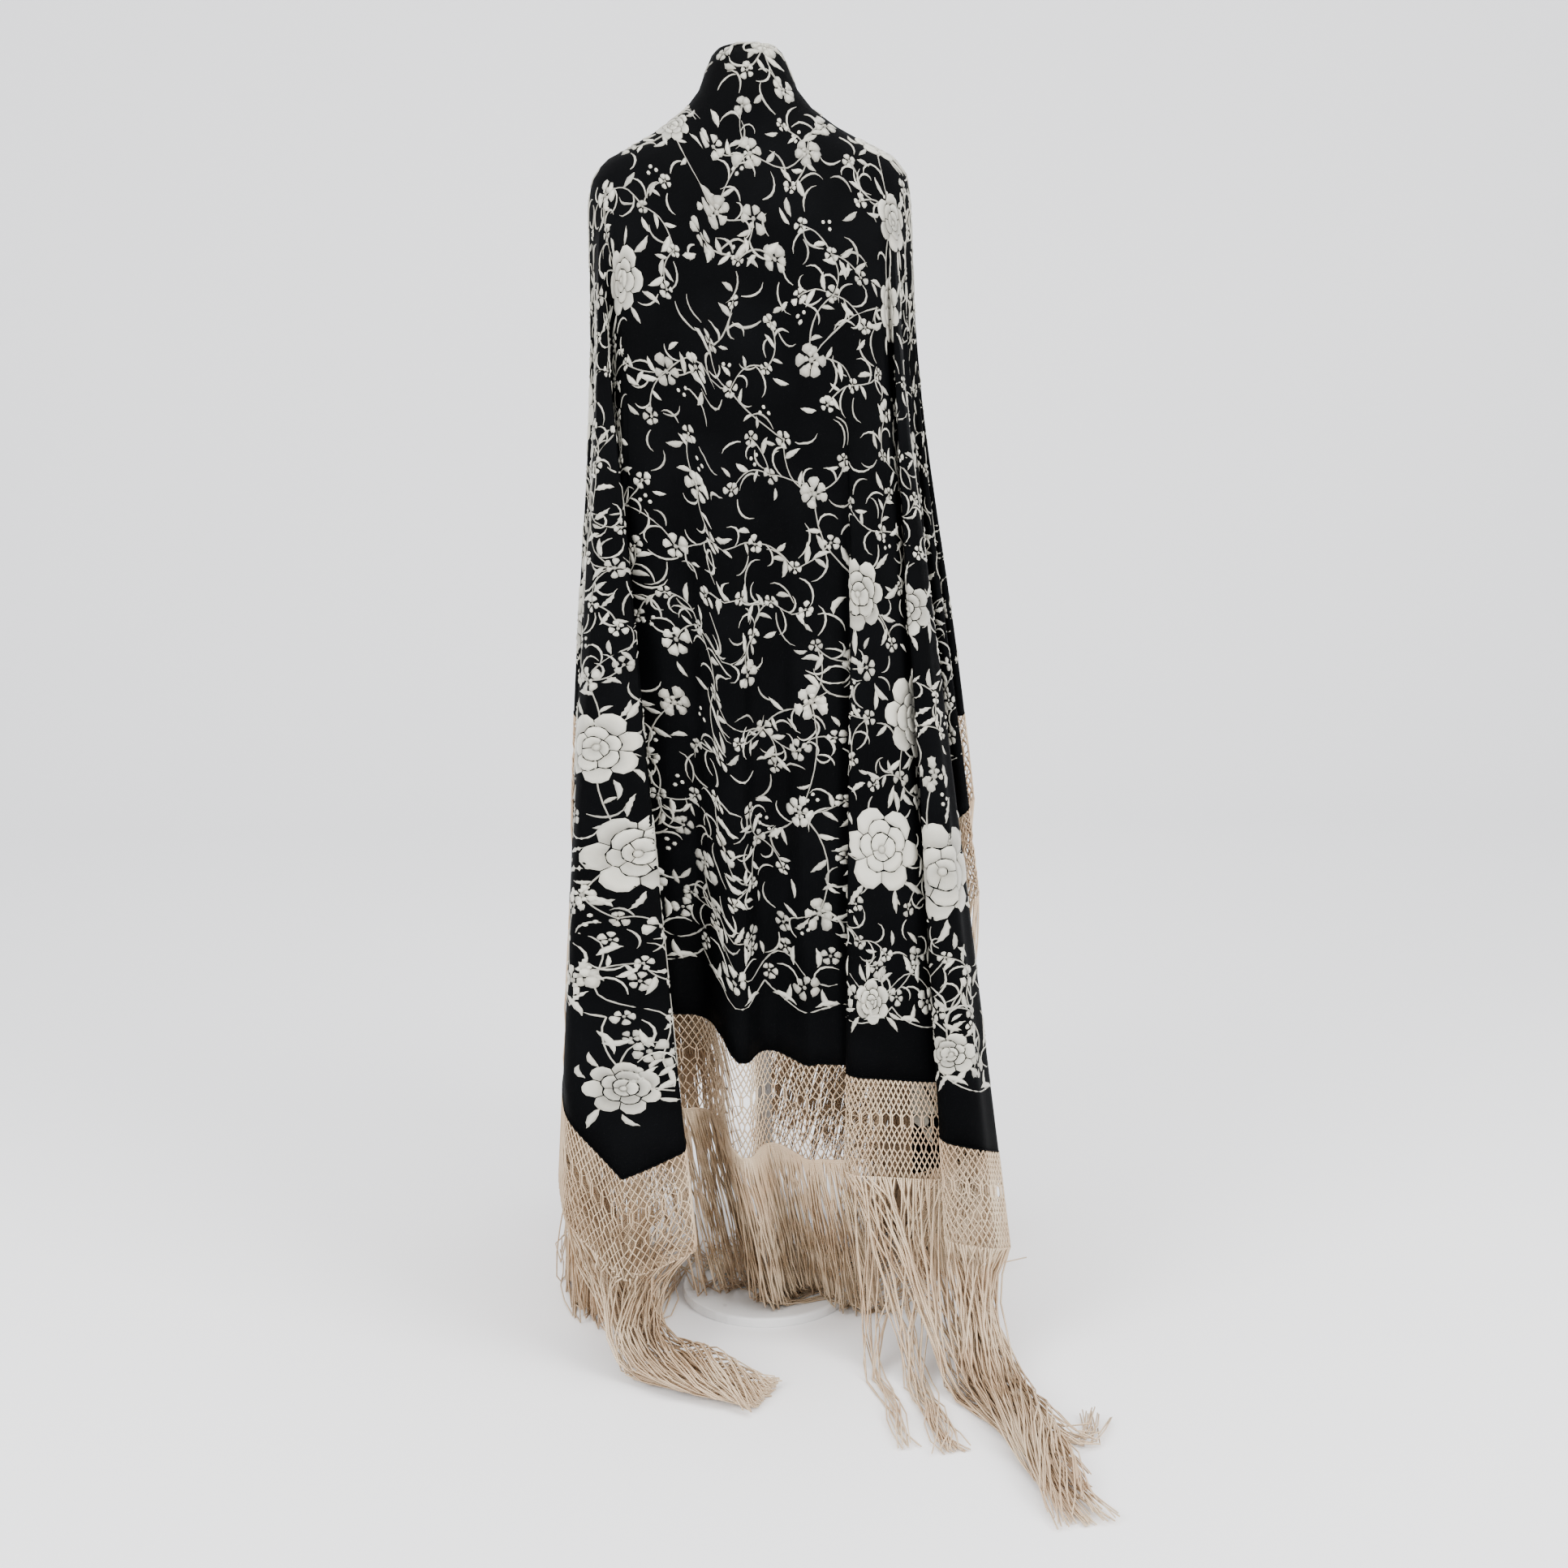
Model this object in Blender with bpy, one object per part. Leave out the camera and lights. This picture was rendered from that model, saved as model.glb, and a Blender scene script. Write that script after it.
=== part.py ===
"""A square piano shawl draped over a limbless dress form on a pole and a round base.

The frame is in metres, +Z up. The origin is the centre of the base's underside. X runs across the
shoulders and -Y is the side where the long front of the shawl hangs.

The shawl is one square of cloth. It lies over the neck and shoulders, and from a ring round the
shoulders it hangs in straight lines, called rulings. The plan of its folds at one height is a path
through the rows of FOLDS. Every ruling runs from its place on the shoulders through its place on that
path, and its length to the hem follows from the square's own cut.
"""

import math

import bmesh
import bpy
import numpy as np

# The flat cut of the shawl.
SIDE = 1.62
NET_DEPTH = 0.115
STRAND_LENGTH = 0.48
CLOTH_WALL = 0.0010
NET_WALL = 0.0012
SEAM_GAP = 0.0003
HEM_GAP = 0.0009
# The least level share of a slanting hem that its gap is still drawn out for.
LEVELLEST = 0.22

# Where the square lies on the form. The cloth's own coordinates are u across the shoulders and v from
# the far hem to the near hem. The ridge is the line of the cloth that lies on neck and shoulder tops.
TIP_U = 0.158
LEFT_OVERHANG = 0.60
RIGHT_OVERHANG = SIDE - 2 * TIP_U - LEFT_OVERHANG
NECK_V = 0.44
LEFT_TIP_V = 0.60
RIGHT_TIP_V = 0.53
TIP_X = 0.135

# The dress form. A row is one level section, a superellipse.
FORM_TOP = 1.493
FORM_BOTTOM = 0.765
FORM_SECTIONS = (
    # height, half_width, half_depth, power
    (1.493, 0.012, 0.012, 2.0),
    (1.491, 0.019, 0.019, 2.0),
    (1.484, 0.027, 0.026, 2.0),
    (1.468, 0.034, 0.034, 2.0),
    (1.445, 0.043, 0.044, 2.0),
    (1.425, 0.062, 0.055, 2.0),
    (1.405, 0.092, 0.061, 2.0),
    (1.385, 0.128, 0.066, 2.0),
    (1.370, 0.157, 0.071, 2.1),
    (1.352, 0.171, 0.077, 2.2),
    (1.320, 0.176, 0.086, 2.3),
    (1.270, 0.177, 0.096, 2.4),
    (1.180, 0.169, 0.105, 2.4),
    (1.080, 0.160, 0.104, 2.3),
    (0.970, 0.146, 0.094, 2.2),
    (0.870, 0.152, 0.100, 2.2),
    (0.765, 0.160, 0.108, 2.2),
)
FORM_SEGMENTS = 28
POLE_RADIUS = 0.010
BASE_RADIUS = 0.105
BASE_HEIGHT = 0.012
BASE_ROUNDING = 0.003

# How the cloth lies and hangs.
CLOTH_CLEARANCE = 0.006
NECK_CLEARANCE = 0.012
NECK_CLEARANCE_HEIGHTS = (1.405, 1.445)
LOWEST_LIP = 1.17
RING_HEIGHT = 1.30
FOLDS_START = 1.345
FOLD_PLAN_HEIGHT = 0.35
# The length of a ruling from the shoulder tip to that height.
FOLD_PLAN_REACH = 0.98
# A fold spreads in depth first and then sideways, so that its layers part before they lie over each other.
FOLD_EASE_X = 0.30
FOLD_EASE_Y = 0.05
BEND_RADIUS = 0.022
FLOOR_CLEARANCE = 0.007
NET_LOWEST = 0.016
# The levels of a ruling's line down to the lip, and how far below the floor the line is worked out.
UPPER_LEVELS = 36
DROP_BELOW_FLOOR = 0.8

# The folds at FOLD_PLAN_HEIGHT, once round the form from the near centre to the right. The panel is
# near, right, far or left. The cloth coordinate is u on the near and far panels, in metres. On the right
# and left it is the angle in degrees, from the near direction, of the line from the shoulder tip. A loop
# above zero makes the row a hairpin of that width, and else it is a soft bend.
FOLDS = (
    # panel, coordinate, x, y, loop
    ("near", -0.128, -0.098, -0.118, 0.0),
    ("near", -0.105, -0.066, -0.100, 0.0),
    ("near", -0.060, -0.042, -0.143, 0.0),
    ("near", -0.038, -0.018, -0.146, 0.0),
    ("near", 0.008, 0.008, -0.104, 0.0),
    ("near", 0.056, 0.055, -0.138, 0.0),
    ("near", 0.088, 0.093, -0.143, 0.0),
    ("near", 0.112, 0.132, -0.127, 0.010),
    ("near", 0.142, 0.099, -0.166, 0.014),
    ("right", 5.5, 0.200, -0.170, 0.0),
    ("right", 8.5, 0.216, -0.134, 0.0),
    ("right", 12.8, 0.224, -0.085, 0.020),
    ("right", 15.5, 0.243, -0.132, 0.0),
    ("right", 18.8, 0.200, -0.194, 0.014),
    ("right", 20.9, 0.246, -0.196, 0.0),
    ("right", 22.8, 0.258, -0.150, 0.0),
    ("right", 27.5, 0.254, -0.035, 0.0),
    ("right", 32.0, 0.185, 0.028, 0.018),
    ("right", 38.0, 0.262, 0.060, 0.018),
    ("right", 48.0, 0.145, 0.095, 0.020),
    ("right", 60.0, 0.286, 0.112, 0.020),
    ("right", 74.0, 0.102, 0.150, 0.022),
    ("right", 90.0, 0.300, 0.160, 0.022),
    ("right", 106.0, 0.075, 0.198, 0.024),
    ("right", 122.0, 0.262, 0.222, 0.024),
    ("right", 142.0, 0.085, 0.252, 0.024),
    ("right", 158.0, 0.205, 0.282, 0.024),
    ("right", 171.0, 0.105, 0.300, 0.0),
    ("far", 0.150, 0.070, 0.245, 0.0),
    ("far", 0.080, 0.045, 0.176, 0.0),
    ("far", 0.000, 0.000, 0.190, 0.0),
    ("far", -0.080, -0.045, 0.172, 0.0),
    ("far", -0.150, -0.072, 0.240, 0.0),
    ("left", 170.0, -0.110, 0.292, 0.0),
    ("left", 156.0, -0.212, 0.274, 0.024),
    ("left", 140.0, -0.085, 0.246, 0.024),
    ("left", 123.0, -0.238, 0.218, 0.024),
    ("left", 107.0, -0.080, 0.192, 0.022),
    ("left", 91.0, -0.250, 0.166, 0.022),
    ("left", 75.0, -0.106, 0.142, 0.020),
    ("left", 61.0, -0.252, 0.114, 0.020),
    ("left", 50.0, -0.148, 0.088, 0.018),
    ("left", 41.0, -0.246, 0.050, 0.020),
    ("left", 32.3, -0.219, -0.206, 0.0),
    ("left", 30.4, -0.158, -0.214, 0.0),
    ("left", 27.6, -0.092, -0.206, 0.016),
    ("left", 20.0, -0.194, -0.104, 0.0),
    ("left", 13.0, -0.218, -0.018, 0.014),
    ("left", 5.2, -0.190, -0.092, 0.0),
    ("near", -0.157, -0.148, -0.114, 0.0),
)

# The stretches of the cloth between the places where its solids part. A row is the place where a
# stretch starts, and it ends where the next one starts. Its strands drift by this much for each metre
# that they fall, and where they reach the floor they lie towards the point given, this much above it.
STRETCHES = (
    # name, panel, coordinate, drift_x, drift_y, lie_x, lie_y, rise
    ("front_centre", "near", -0.143, 0.15, 0.36, 0.20, 0.90, 0.0),
    ("front_right", "near", 0.096, 0.10, 0.00, 0.22, -1.00, 0.0),
    ("right_edge", "right", 10.6, 0.12, 0.00, 0.44, -1.10, 0.018),
    ("right_corner", "right", 29.6, 0.00, 0.10, 0.20, 0.90, 0.0),
    ("right_side", "right", 54.0, 0.00, 0.08, 0.30, 0.90, 0.018),
    ("right_back", "right", 98.0, 0.00, 0.00, 0.34, 0.90, 0.018),
    ("back", "right", 165.0, 0.00, 0.00, 0.00, 0.90, 0.0),
    ("left_back", "left", 163.0, 0.00, 0.00, -0.30, 0.90, 0.018),
    ("left_side", "left", 99.0, 0.00, 0.00, -0.30, 0.90, 0.018),
    ("left_corner", "left", 55.0, 0.00, 0.00, -0.30, 0.90, 0.020),
    ("left_edge", "left", 36.0, 0.10, 0.25, 0.25, -0.62, 0.0),
    ("left_inner", "left", 24.0, 0.00, 0.10, -0.10, 0.90, 0.0),
)

# The least spacing of a stretch's columns along the loop, and of the first and last from its edges.
COLUMN_SPACING = 0.008
EDGE_SPACING = 0.009

# The shares of the way from the ring to the hem at which a stretch has a row of points.
ROW_SHARES = (0.0, 0.05, 0.12, 0.25, 0.45, 0.7, 1.0)

# The fringe: one lock of strands stands at each step along the hem.
LOCK_STEP = 0.038
LOCK_WIDTH = 0.009
LOCK_TIP_WIDTH = 0.006
BACKING_DEPTH = 0.006
LOCK_THICKNESS = 0.003
FLOOR_BEND = 0.03
POLE_PASSING = 0.022
LEAST_FALL = 0.0015
# Neighbouring locks lie at different heights over the floor, in turn.
LIE_HEIGHTS = (0.0, 0.006, 0.012)

# Plain colours for the CAD model.
COLOURS = {
    # name: colour, roughness, metallic
    "crepe": ((0.012, 0.012, 0.014, 1.0), 0.55, 0.0),
    "net": ((0.60, 0.49, 0.37, 1.0), 0.7, 0.0),
    "fringe": ((0.62, 0.50, 0.37, 1.0), 0.7, 0.0),
    "form": ((0.80, 0.79, 0.77, 1.0), 0.6, 0.0),
    "stand": ((0.85, 0.85, 0.84, 1.0), 0.35, 0.0),
}


def material(name):
    colour, roughness, metallic = COLOURS[name]
    made = bpy.data.materials.get(name) or bpy.data.materials.new(name)
    made.use_nodes = True
    shader = made.node_tree.nodes["Principled BSDF"]
    shader.inputs["Base Color"].default_value = colour
    shader.inputs["Roughness"].default_value = roughness
    shader.inputs["Metallic"].default_value = metallic
    return made


def add_object(name, mesh, material_name, smooth=True):
    mesh.materials.append(material(material_name))
    if smooth:
        mesh.shade_smooth()
    made = bpy.data.objects.new(name, mesh)
    bpy.context.scene.collection.objects.link(made)
    return made


def mesh_from(name, points, faces):
    mesh = bpy.data.meshes.new(name)
    mesh.from_pydata([tuple(p) for p in points], [], [tuple(f) for f in faces])
    return mesh


# The form's sections

SECTION_TABLE = np.array(sorted(FORM_SECTIONS))


def section(height, clearance=0.0):
    """Half width, half depth and power of the form's section at each height, grown by the clearance."""
    half_width = np.interp(height, SECTION_TABLE[:, 0], SECTION_TABLE[:, 1]) + clearance
    half_depth = np.interp(height, SECTION_TABLE[:, 0], SECTION_TABLE[:, 2]) + clearance
    return half_width, half_depth, np.interp(height, SECTION_TABLE[:, 0], SECTION_TABLE[:, 3])


def cloth_clearance(height):
    """How far the cloth stands off the form at each height: more at the neck than at the body."""
    return np.interp(height, NECK_CLEARANCE_HEIGHTS, (CLOTH_CLEARANCE, NECK_CLEARANCE))


def distance_to_section(start_x, direction, height):
    """How far from (start_x, 0) along a plan direction the cleared section lies, by halving."""
    half_width, half_depth, power = section(height, cloth_clearance(height))
    near = np.zeros_like(height)
    far = np.full_like(height, 0.4)
    for _ in range(36):
        middle = (near + far) / 2
        x = np.abs(start_x + direction[0] * middle) / half_width
        y = np.abs(direction[1] * middle) / half_depth
        inside = x**power + y**power < 1
        near = np.where(inside, middle, near)
        far = np.where(inside, far, middle)
    return near


CLOTH_TOP = FORM_TOP + SEAM_GAP + CLOTH_WALL / 2
UPPER_ROWS =SECTION_TABLE[SECTION_TABLE[:, 0] > 1.34][::-1]
RIDGE_X = UPPER_ROWS[:, 1] + cloth_clearance(UPPER_ROWS[:, 0])
RIDGE_HEIGHTS = np.append(CLOTH_TOP, UPPER_ROWS[1:, 0])


def ridge_height(x):
    """The height of the cloth's ridge over the neck and shoulders at x."""
    return np.interp(np.abs(x), RIDGE_X, RIDGE_HEIGHTS)


# The cloth's own coordinates
# A place along the loop is one number: u on the near panel, then the right angle in radians, and so on.

TURN = math.pi
LOOP_LENGTH = 4 * TIP_U + 2 * TURN


def place(panel, coordinate):
    """The place along the loop of a panel's coordinate."""
    if panel == "near":
        return coordinate if coordinate > -TIP_U + 1e-9 else coordinate + LOOP_LENGTH
    if panel == "right":
        return TIP_U + math.radians(coordinate)
    if panel == "far":
        return 2 * TIP_U + TURN - coordinate
    return 3 * TIP_U + 2 * TURN - math.radians(coordinate)


def ridge_v(u):
    """The cloth's v on the ridge: it grows from neck to tip as the ridge falls."""
    x = np.abs(u) * TIP_X / TIP_U
    top, tip = ridge_height(0.0), ridge_height(TIP_X)
    fall = (top - ridge_height(x)) / (top - tip)
    return NECK_V + (np.where(u < 0, LEFT_TIP_V, RIGHT_TIP_V) - NECK_V) * fall


def ruling(where):
    """Start x, plan direction and length to the hem of the rulings at places along the loop."""
    w = np.mod(np.asarray(where, float) + TIP_U, LOOP_LENGTH) - TIP_U
    start, direction = np.zeros_like(w), np.zeros((2, len(w)))
    length = np.zeros_like(w)
    near = w <= TIP_U
    right = (w > TIP_U) & (w < TIP_U + TURN)
    far = (w >= TIP_U + TURN) & (w <= 3 * TIP_U + TURN)
    left = w > 3 * TIP_U + TURN
    start[near] = w[near] * TIP_X / TIP_U
    direction[1, near] = -1
    length[near] = SIDE - ridge_v(w[near])
    u = 2 * TIP_U + TURN - w[far]
    start[far] = u * TIP_X / TIP_U
    direction[1, far] = 1
    length[far] = ridge_v(u)
    for side, angle, sign, overhang, tip_v in (
        (right, w - TIP_U, 1, RIGHT_OVERHANG, RIGHT_TIP_V),
        (left, 3 * TIP_U + 2 * TURN - w, -1, LEFT_OVERHANG, LEFT_TIP_V),
    ):
        a = angle[side]
        start[side] = sign * TIP_X
        direction[0, side] = sign * np.sin(a)
        direction[1, side] = -np.cos(a)
        to_side = overhang / np.maximum(np.sin(a), 1e-6)
        to_end = np.where(np.cos(a) > 0, SIDE - tip_v, tip_v) / np.maximum(np.abs(np.cos(a)), 1e-6)
        length[side] = np.minimum(to_side, to_end)
    return start, direction, length


# The plan of the folds


def corner_arc(before, at, after, radius, steps):
    """Points of the round corner at a vertex of the plan, and their turn's share of the way."""
    into = (at - before) / np.linalg.norm(at - before)
    out = (after - at) / np.linalg.norm(after - at)
    half_turn = math.acos(max(-1.0, min(1.0, float(into @ out)))) / 2
    room = 0.48 * min(np.linalg.norm(at - before), np.linalg.norm(after - at))
    cut = min(radius * math.tan(half_turn), room)
    t = np.linspace(0, 1, steps)[:, None]
    first, last = at - into * cut, at + out * cut
    return (1 - t) ** 2 * first + 2 * t * (1 - t) * at + t**2 * last


def plan_path():
    """Points of the fold plan, and each one's place along the cloth's loop."""
    rows = [(place(panel, c), np.array([x, y]), loop, panel) for panel, c, x, y, loop in FOLDS]
    corners = []
    for i, (where, at, loop, panel) in enumerate(rows):
        if not loop:
            corners.append((where, at, BEND_RADIUS, 3))
            continue
        into = at - rows[i - 1][1]
        into /= np.linalg.norm(into)
        across = np.array([-into[1], into[0]])
        towards = rows[(i + 1) % len(rows)][1] - at
        side = math.copysign(loop / 2, float(across @ towards))
        half = loop / 2 if panel in ("near", "far") else loop / 2 / FOLD_PLAN_REACH
        corners.append((where - half, at - across * side, loop, 3))
        corners.append((where + half, at + across * side, loop, 3))
    points, places = [], []
    for i, (where, at, radius, steps) in enumerate(corners):
        before, after = corners[i - 1][1], corners[(i + 1) % len(corners)][1]
        arc = corner_arc(before, at, after, radius, steps)
        points += list(arc)
        places += [where if k == steps // 2 else None for k in range(steps)]
    points = np.array(points)
    gaps = np.linalg.norm(np.diff(points, axis=0), axis=1)
    along = np.concatenate([[0], np.cumsum(gaps)])
    # The loop closes at the first point, one whole turn later.
    total = along[-1] + np.linalg.norm(points[0] - points[-1])
    known = [k for k, p in enumerate(places) if p is not None]
    ordered = unwrapped([places[k] for k in known])
    known_along = np.array([along[k] for k in known])
    known_along = np.concatenate([known_along[-1:] - total, known_along, known_along[:1] + total])
    known_place = np.concatenate([ordered[-1:] - LOOP_LENGTH, ordered, ordered[:1] + LOOP_LENGTH])
    known_place = np.maximum.accumulate(known_place + np.arange(len(known_place)) * 1e-7)
    return points, np.interp(along, known_along, known_place)


def unwrapped(places):
    """The rows' places with each whole turn added, so they only grow."""
    made = []
    for value in places:
        while made and value < made[-1] - 1e-6:
            value += LOOP_LENGTH
        made.append(value)
    return np.array(made)


PLAN_POINTS, PLAN_PLACES = plan_path()


def plan_at(where):
    """The fold plan's x and y at places along the loop."""
    first = PLAN_PLACES[0]
    w = np.mod(np.asarray(where, float) - first, LOOP_LENGTH) + first
    places = np.concatenate([PLAN_PLACES, [first + LOOP_LENGTH]])
    points = np.concatenate([PLAN_POINTS, PLAN_POINTS[:1]])
    return np.stack([np.interp(w, places, points[:, k]) for k in (0, 1)], axis=1)


# The draped surface


def fold_share(height, ease):
    """How far a ruling has gone from the shoulders to the fold plan: a soft start, then a straight line."""
    fallen = np.clip(FOLDS_START - height, 0, None)
    eased = np.where(fallen < ease, fallen**2 / (2 * ease), fallen - ease / 2)
    return eased / (FOLDS_START - FOLD_PLAN_HEIGHT - ease / 2)


def drape_lines(where):
    """For each place, a line of points from the ridge down, and the cloth's length along it."""
    start, direction, _ = ruling(where)
    top = ridge_height(start)
    share = np.linspace(0, 1, UPPER_LEVELS) ** 2
    upper = top[:, None] - (top[:, None] - LOWEST_LIP) * share
    lower = np.linspace(LOWEST_LIP, -DROP_BELOW_FLOOR, 30)[1:]
    height = np.concatenate([upper, np.broadcast_to(lower, (len(start), len(lower)))], axis=1)
    held = np.maximum(height, LOWEST_LIP)
    reach = distance_to_section(start[:, None], direction[:, :, None], held)
    reach[:, 0] = 0
    reach = np.maximum.accumulate(reach, axis=1)
    x = start[:, None] + direction[0][:, None] * reach
    y = direction[1][:, None] * reach
    plan = plan_at(where)
    x = x + (plan[:, 0] - x[:, -1])[:, None] * fold_share(height, FOLD_EASE_X)
    y = y + (plan[:, 1] - y[:, -1])[:, None] * fold_share(height, FOLD_EASE_Y)
    points = np.stack([x, y, height], axis=2)
    steps = np.linalg.norm(np.diff(points, axis=1), axis=2)
    length = np.concatenate([np.zeros((len(start), 1)), np.cumsum(steps, axis=1)], axis=1)
    return points, length


def drape(where, lengths):
    """Points of the cloth at places along the loop, each at its row of lengths down its ruling."""
    points, along = drape_lines(where)
    made = np.empty(lengths.shape + (3,))
    for j in range(lengths.shape[1]):
        for axis in range(3):
            made[:, j, axis] = np.interp(lengths[:, j], along[j], points[j, :, axis])
    return made


def length_to_height(where, height):
    """The cloth's length from the ridge to the place where its ruling passes a height."""
    points, along = drape_lines(where)
    return np.array([np.interp(-height, -p[:, 2], a) for p, a in zip(points, along)])


# Walls and grids


def grid_faces(rows, columns, closed=False):
    faces = []
    for i in range(rows - 1):
        for j in range(columns if closed else columns - 1):
            k = (j + 1) % columns
            faces.append((i * columns + j, (i + 1) * columns + j, (i + 1) * columns + k, i * columns + k))
    return faces


def cloth_object(name, points, faces, wall, material_name):
    """A cloth wall: the middle surface with a Solidify modifier half each way."""
    mesh = mesh_from(name, points, faces)
    work = bmesh.new()
    work.from_mesh(mesh)
    bmesh.ops.remove_doubles(work, verts=work.verts, dist=1e-6)
    bmesh.ops.recalc_face_normals(work, faces=work.faces)
    work.to_mesh(mesh)
    work.free()
    made = add_object(name, mesh, material_name)
    solid = made.modifiers.new("wall", "SOLIDIFY")
    solid.thickness = wall
    solid.offset = 0
    return made


def stretch_places(index):
    """The places of a stretch's columns, from its own start to the start of the next one."""
    start = place(*STRETCHES[index][1:3])
    end = place(*STRETCHES[(index + 1) % len(STRETCHES)][1:3])
    if end < start:
        end += LOOP_LENGTH
    turns = (-1, 0, 1)
    inner = np.sort(np.concatenate([PLAN_PLACES + LOOP_LENGTH * turn for turn in turns]))
    made = [start]
    corners = [c + LOOP_LENGTH * turn for c in corner_places() for turn in turns]
    made += [c for c in corners if start < c < end]
    for value in inner:
        if start < value < end - EDGE_SPACING and all(abs(value - other) > COLUMN_SPACING for other in made):
            if value > start + EDGE_SPACING:
                made.append(value)
    return np.sort(np.append(made, end))


def corner_places():
    """The places where a ruling ends in one of the square's corners."""
    made = []
    for panel, overhang, tip_v in (
        ("right", RIGHT_OVERHANG, RIGHT_TIP_V),
        ("left", LEFT_OVERHANG, LEFT_TIP_V),
    ):
        near = math.degrees(math.atan2(overhang, SIDE - tip_v))
        far = 180 - math.degrees(math.atan2(overhang, tip_v))
        made += [place(panel, near), place(panel, far)]
    return np.array(made)


def drape_sides(where, lengths, wall):
    """The drape moved out and in by half a wall, along normals from the surface itself."""
    step = 1e-3
    across = drape(where + step, lengths) - drape(where - step, lengths)
    down = drape(where, lengths + step) - drape(where, lengths - step)
    normal = np.cross(down, across)
    normal /= np.linalg.norm(normal, axis=2)[:, :, None]
    middle = drape(where, lengths)
    return middle + normal * wall / 2, middle - normal * wall / 2


def part_at_seams(sides):
    """Moves the first and last columns in by half the seam gap."""
    for edge, inner in ((0, 1), (-1, -2)):
        step = sides[0][:, inner] - sides[0][:, edge]
        step /= np.linalg.norm(step, axis=1)[:, None]
        for points in sides:
            points[:, edge] += step * SEAM_GAP / 2
    return sides


def wall_faces(rows, columns):
    """Faces of a closed wall between two grids of points, the outer one first. Both split alike."""
    size = rows * columns
    outer = [part for a, b, c, d in grid_faces(rows, columns) for part in ((a, b, c), (a, c, d))]
    faces = outer + [tuple(size + k for k in face[::-1]) for face in outer]
    rim = [(0, j) for j in range(columns)]
    rim += [(i, columns - 1) for i in range(1, rows)]
    rim += [(rows - 1, j) for j in range(columns - 2, -1, -1)]
    rim += [(i, 0) for i in range(rows - 2, 0, -1)]
    ids = [i * columns + j for i, j in rim]
    faces += [(a, b, size + b, size + a) for a, b in zip(ids, ids[1:] + ids[:1])]
    return faces


def wall_object(name, sides, material_name):
    rows, columns = sides[0].shape[:2]
    points = np.concatenate([side.reshape(-1, 3) for side in sides])
    return closed_object(name, points, wall_faces(rows, columns), material_name)


def closed_object(name, points, faces, material_name, smooth=True):
    mesh = mesh_from(name, points, faces)
    work = bmesh.new()
    work.from_mesh(mesh)
    bmesh.ops.recalc_face_normals(work, faces=work.faces)
    work.to_mesh(mesh)
    work.free()
    made = add_object(name, mesh, material_name, smooth)
    if smooth:
        mesh.set_sharp_from_angle(angle=math.radians(50))
    return made


def make_yoke():
    """The cloth on the neck and shoulders, from the ridge to the ring."""
    angles = np.radians([0, 18, 38, 60, 80, 100, 120, 142, 162, 180])
    # A column runs down from each place where the ridge bends.
    bends = RIDGE_X[RIDGE_X < TIP_X - 0.01] * TIP_U / TIP_X
    side = np.concatenate([bends[:1] / 2, bends, [TIP_U]])
    us = np.concatenate([-side[::-1], [0.0], side])
    right = TIP_U + angles[1:-1]
    left = 3 * TIP_U + TURN + angles[1:-1]
    where = np.concatenate([us, right, 2 * TIP_U + TURN - us[::-1], left])
    total = length_to_height(where, RING_HEIGHT) - SEAM_GAP / 2
    shares = np.array([0.0, 0.07, 0.14, 0.23, 0.36, 0.52, 0.75, 1.0])
    points = drape(where, shares[:, None] * total[None, :])
    faces = grid_faces(len(shares), len(where), closed=True)
    return cloth_object("cloth_yoke", points.reshape(-1, 3), faces, CLOTH_WALL, "crepe")


def make_stretch(index):
    where = stretch_places(index)
    hem = ruling(where)[2]
    ring = length_to_height(where, RING_HEIGHT) + SEAM_GAP / 2
    shares = np.array(ROW_SHARES)[:, None]
    sides = drape_sides(where, ring + (hem - ring) * shares, CLOTH_WALL)
    return wall_object(f"cloth_{STRETCHES[index][0]}", part_at_seams(sides), "crepe")


def lifted(height, lowest):
    """How far a row of heights is moved up so that none lies below the lowest."""
    return np.maximum(lowest - height, 0)


def hem_gaps(where, lengths, lift=0.0):
    """The seam gap along each ruling, longer where the hem slants, so that it is even across the hem."""
    edge = drape(where, lengths[None, :])[0]
    edge[:, 2] += lift
    chord = np.diff(edge, axis=0)
    level = np.linalg.norm(chord[:, :2], axis=1) / np.linalg.norm(chord, axis=1)
    level = np.clip(level, LEVELLEST, 1)
    padded = np.concatenate([level[:1], level, level[-1:]])
    return HEM_GAP / np.minimum(padded[1:], padded[:-1])


def make_net(index):
    where = stretch_places(index)
    hem = ruling(where)[2]
    lengths = np.stack([hem + hem_gaps(where, hem), hem + NET_DEPTH / 2, hem + NET_DEPTH])
    sides = part_at_seams(drape_sides(where, lengths, NET_WALL))
    for row, lowest in ((2, NET_LOWEST), (1, NET_LOWEST + 0.02)):
        lift = lifted(drape(where, lengths[row:row + 1])[0, :, 2], lowest)
        for points in sides:
            points[row, :, 2] += lift
    return wall_object(f"net_{STRETCHES[index][0]}", sides, "net")


# The fringe


def hem_steps(start, end):
    """Places one lock step apart along the hem between two places."""
    fine = np.linspace(start, end, 400)
    hem = ruling(fine)[2]
    edge = drape(fine, hem[None, :])[0]
    along = np.concatenate([[0], np.cumsum(np.linalg.norm(np.diff(edge, axis=0), axis=1))])
    count = max(2, round(along[-1] / LOCK_STEP))
    centres = (np.arange(count) + 0.5) * along[-1] / count
    half = LOCK_WIDTH / 2
    return np.interp(np.stack([centres - half, centres + half]), along, fine)


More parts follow.
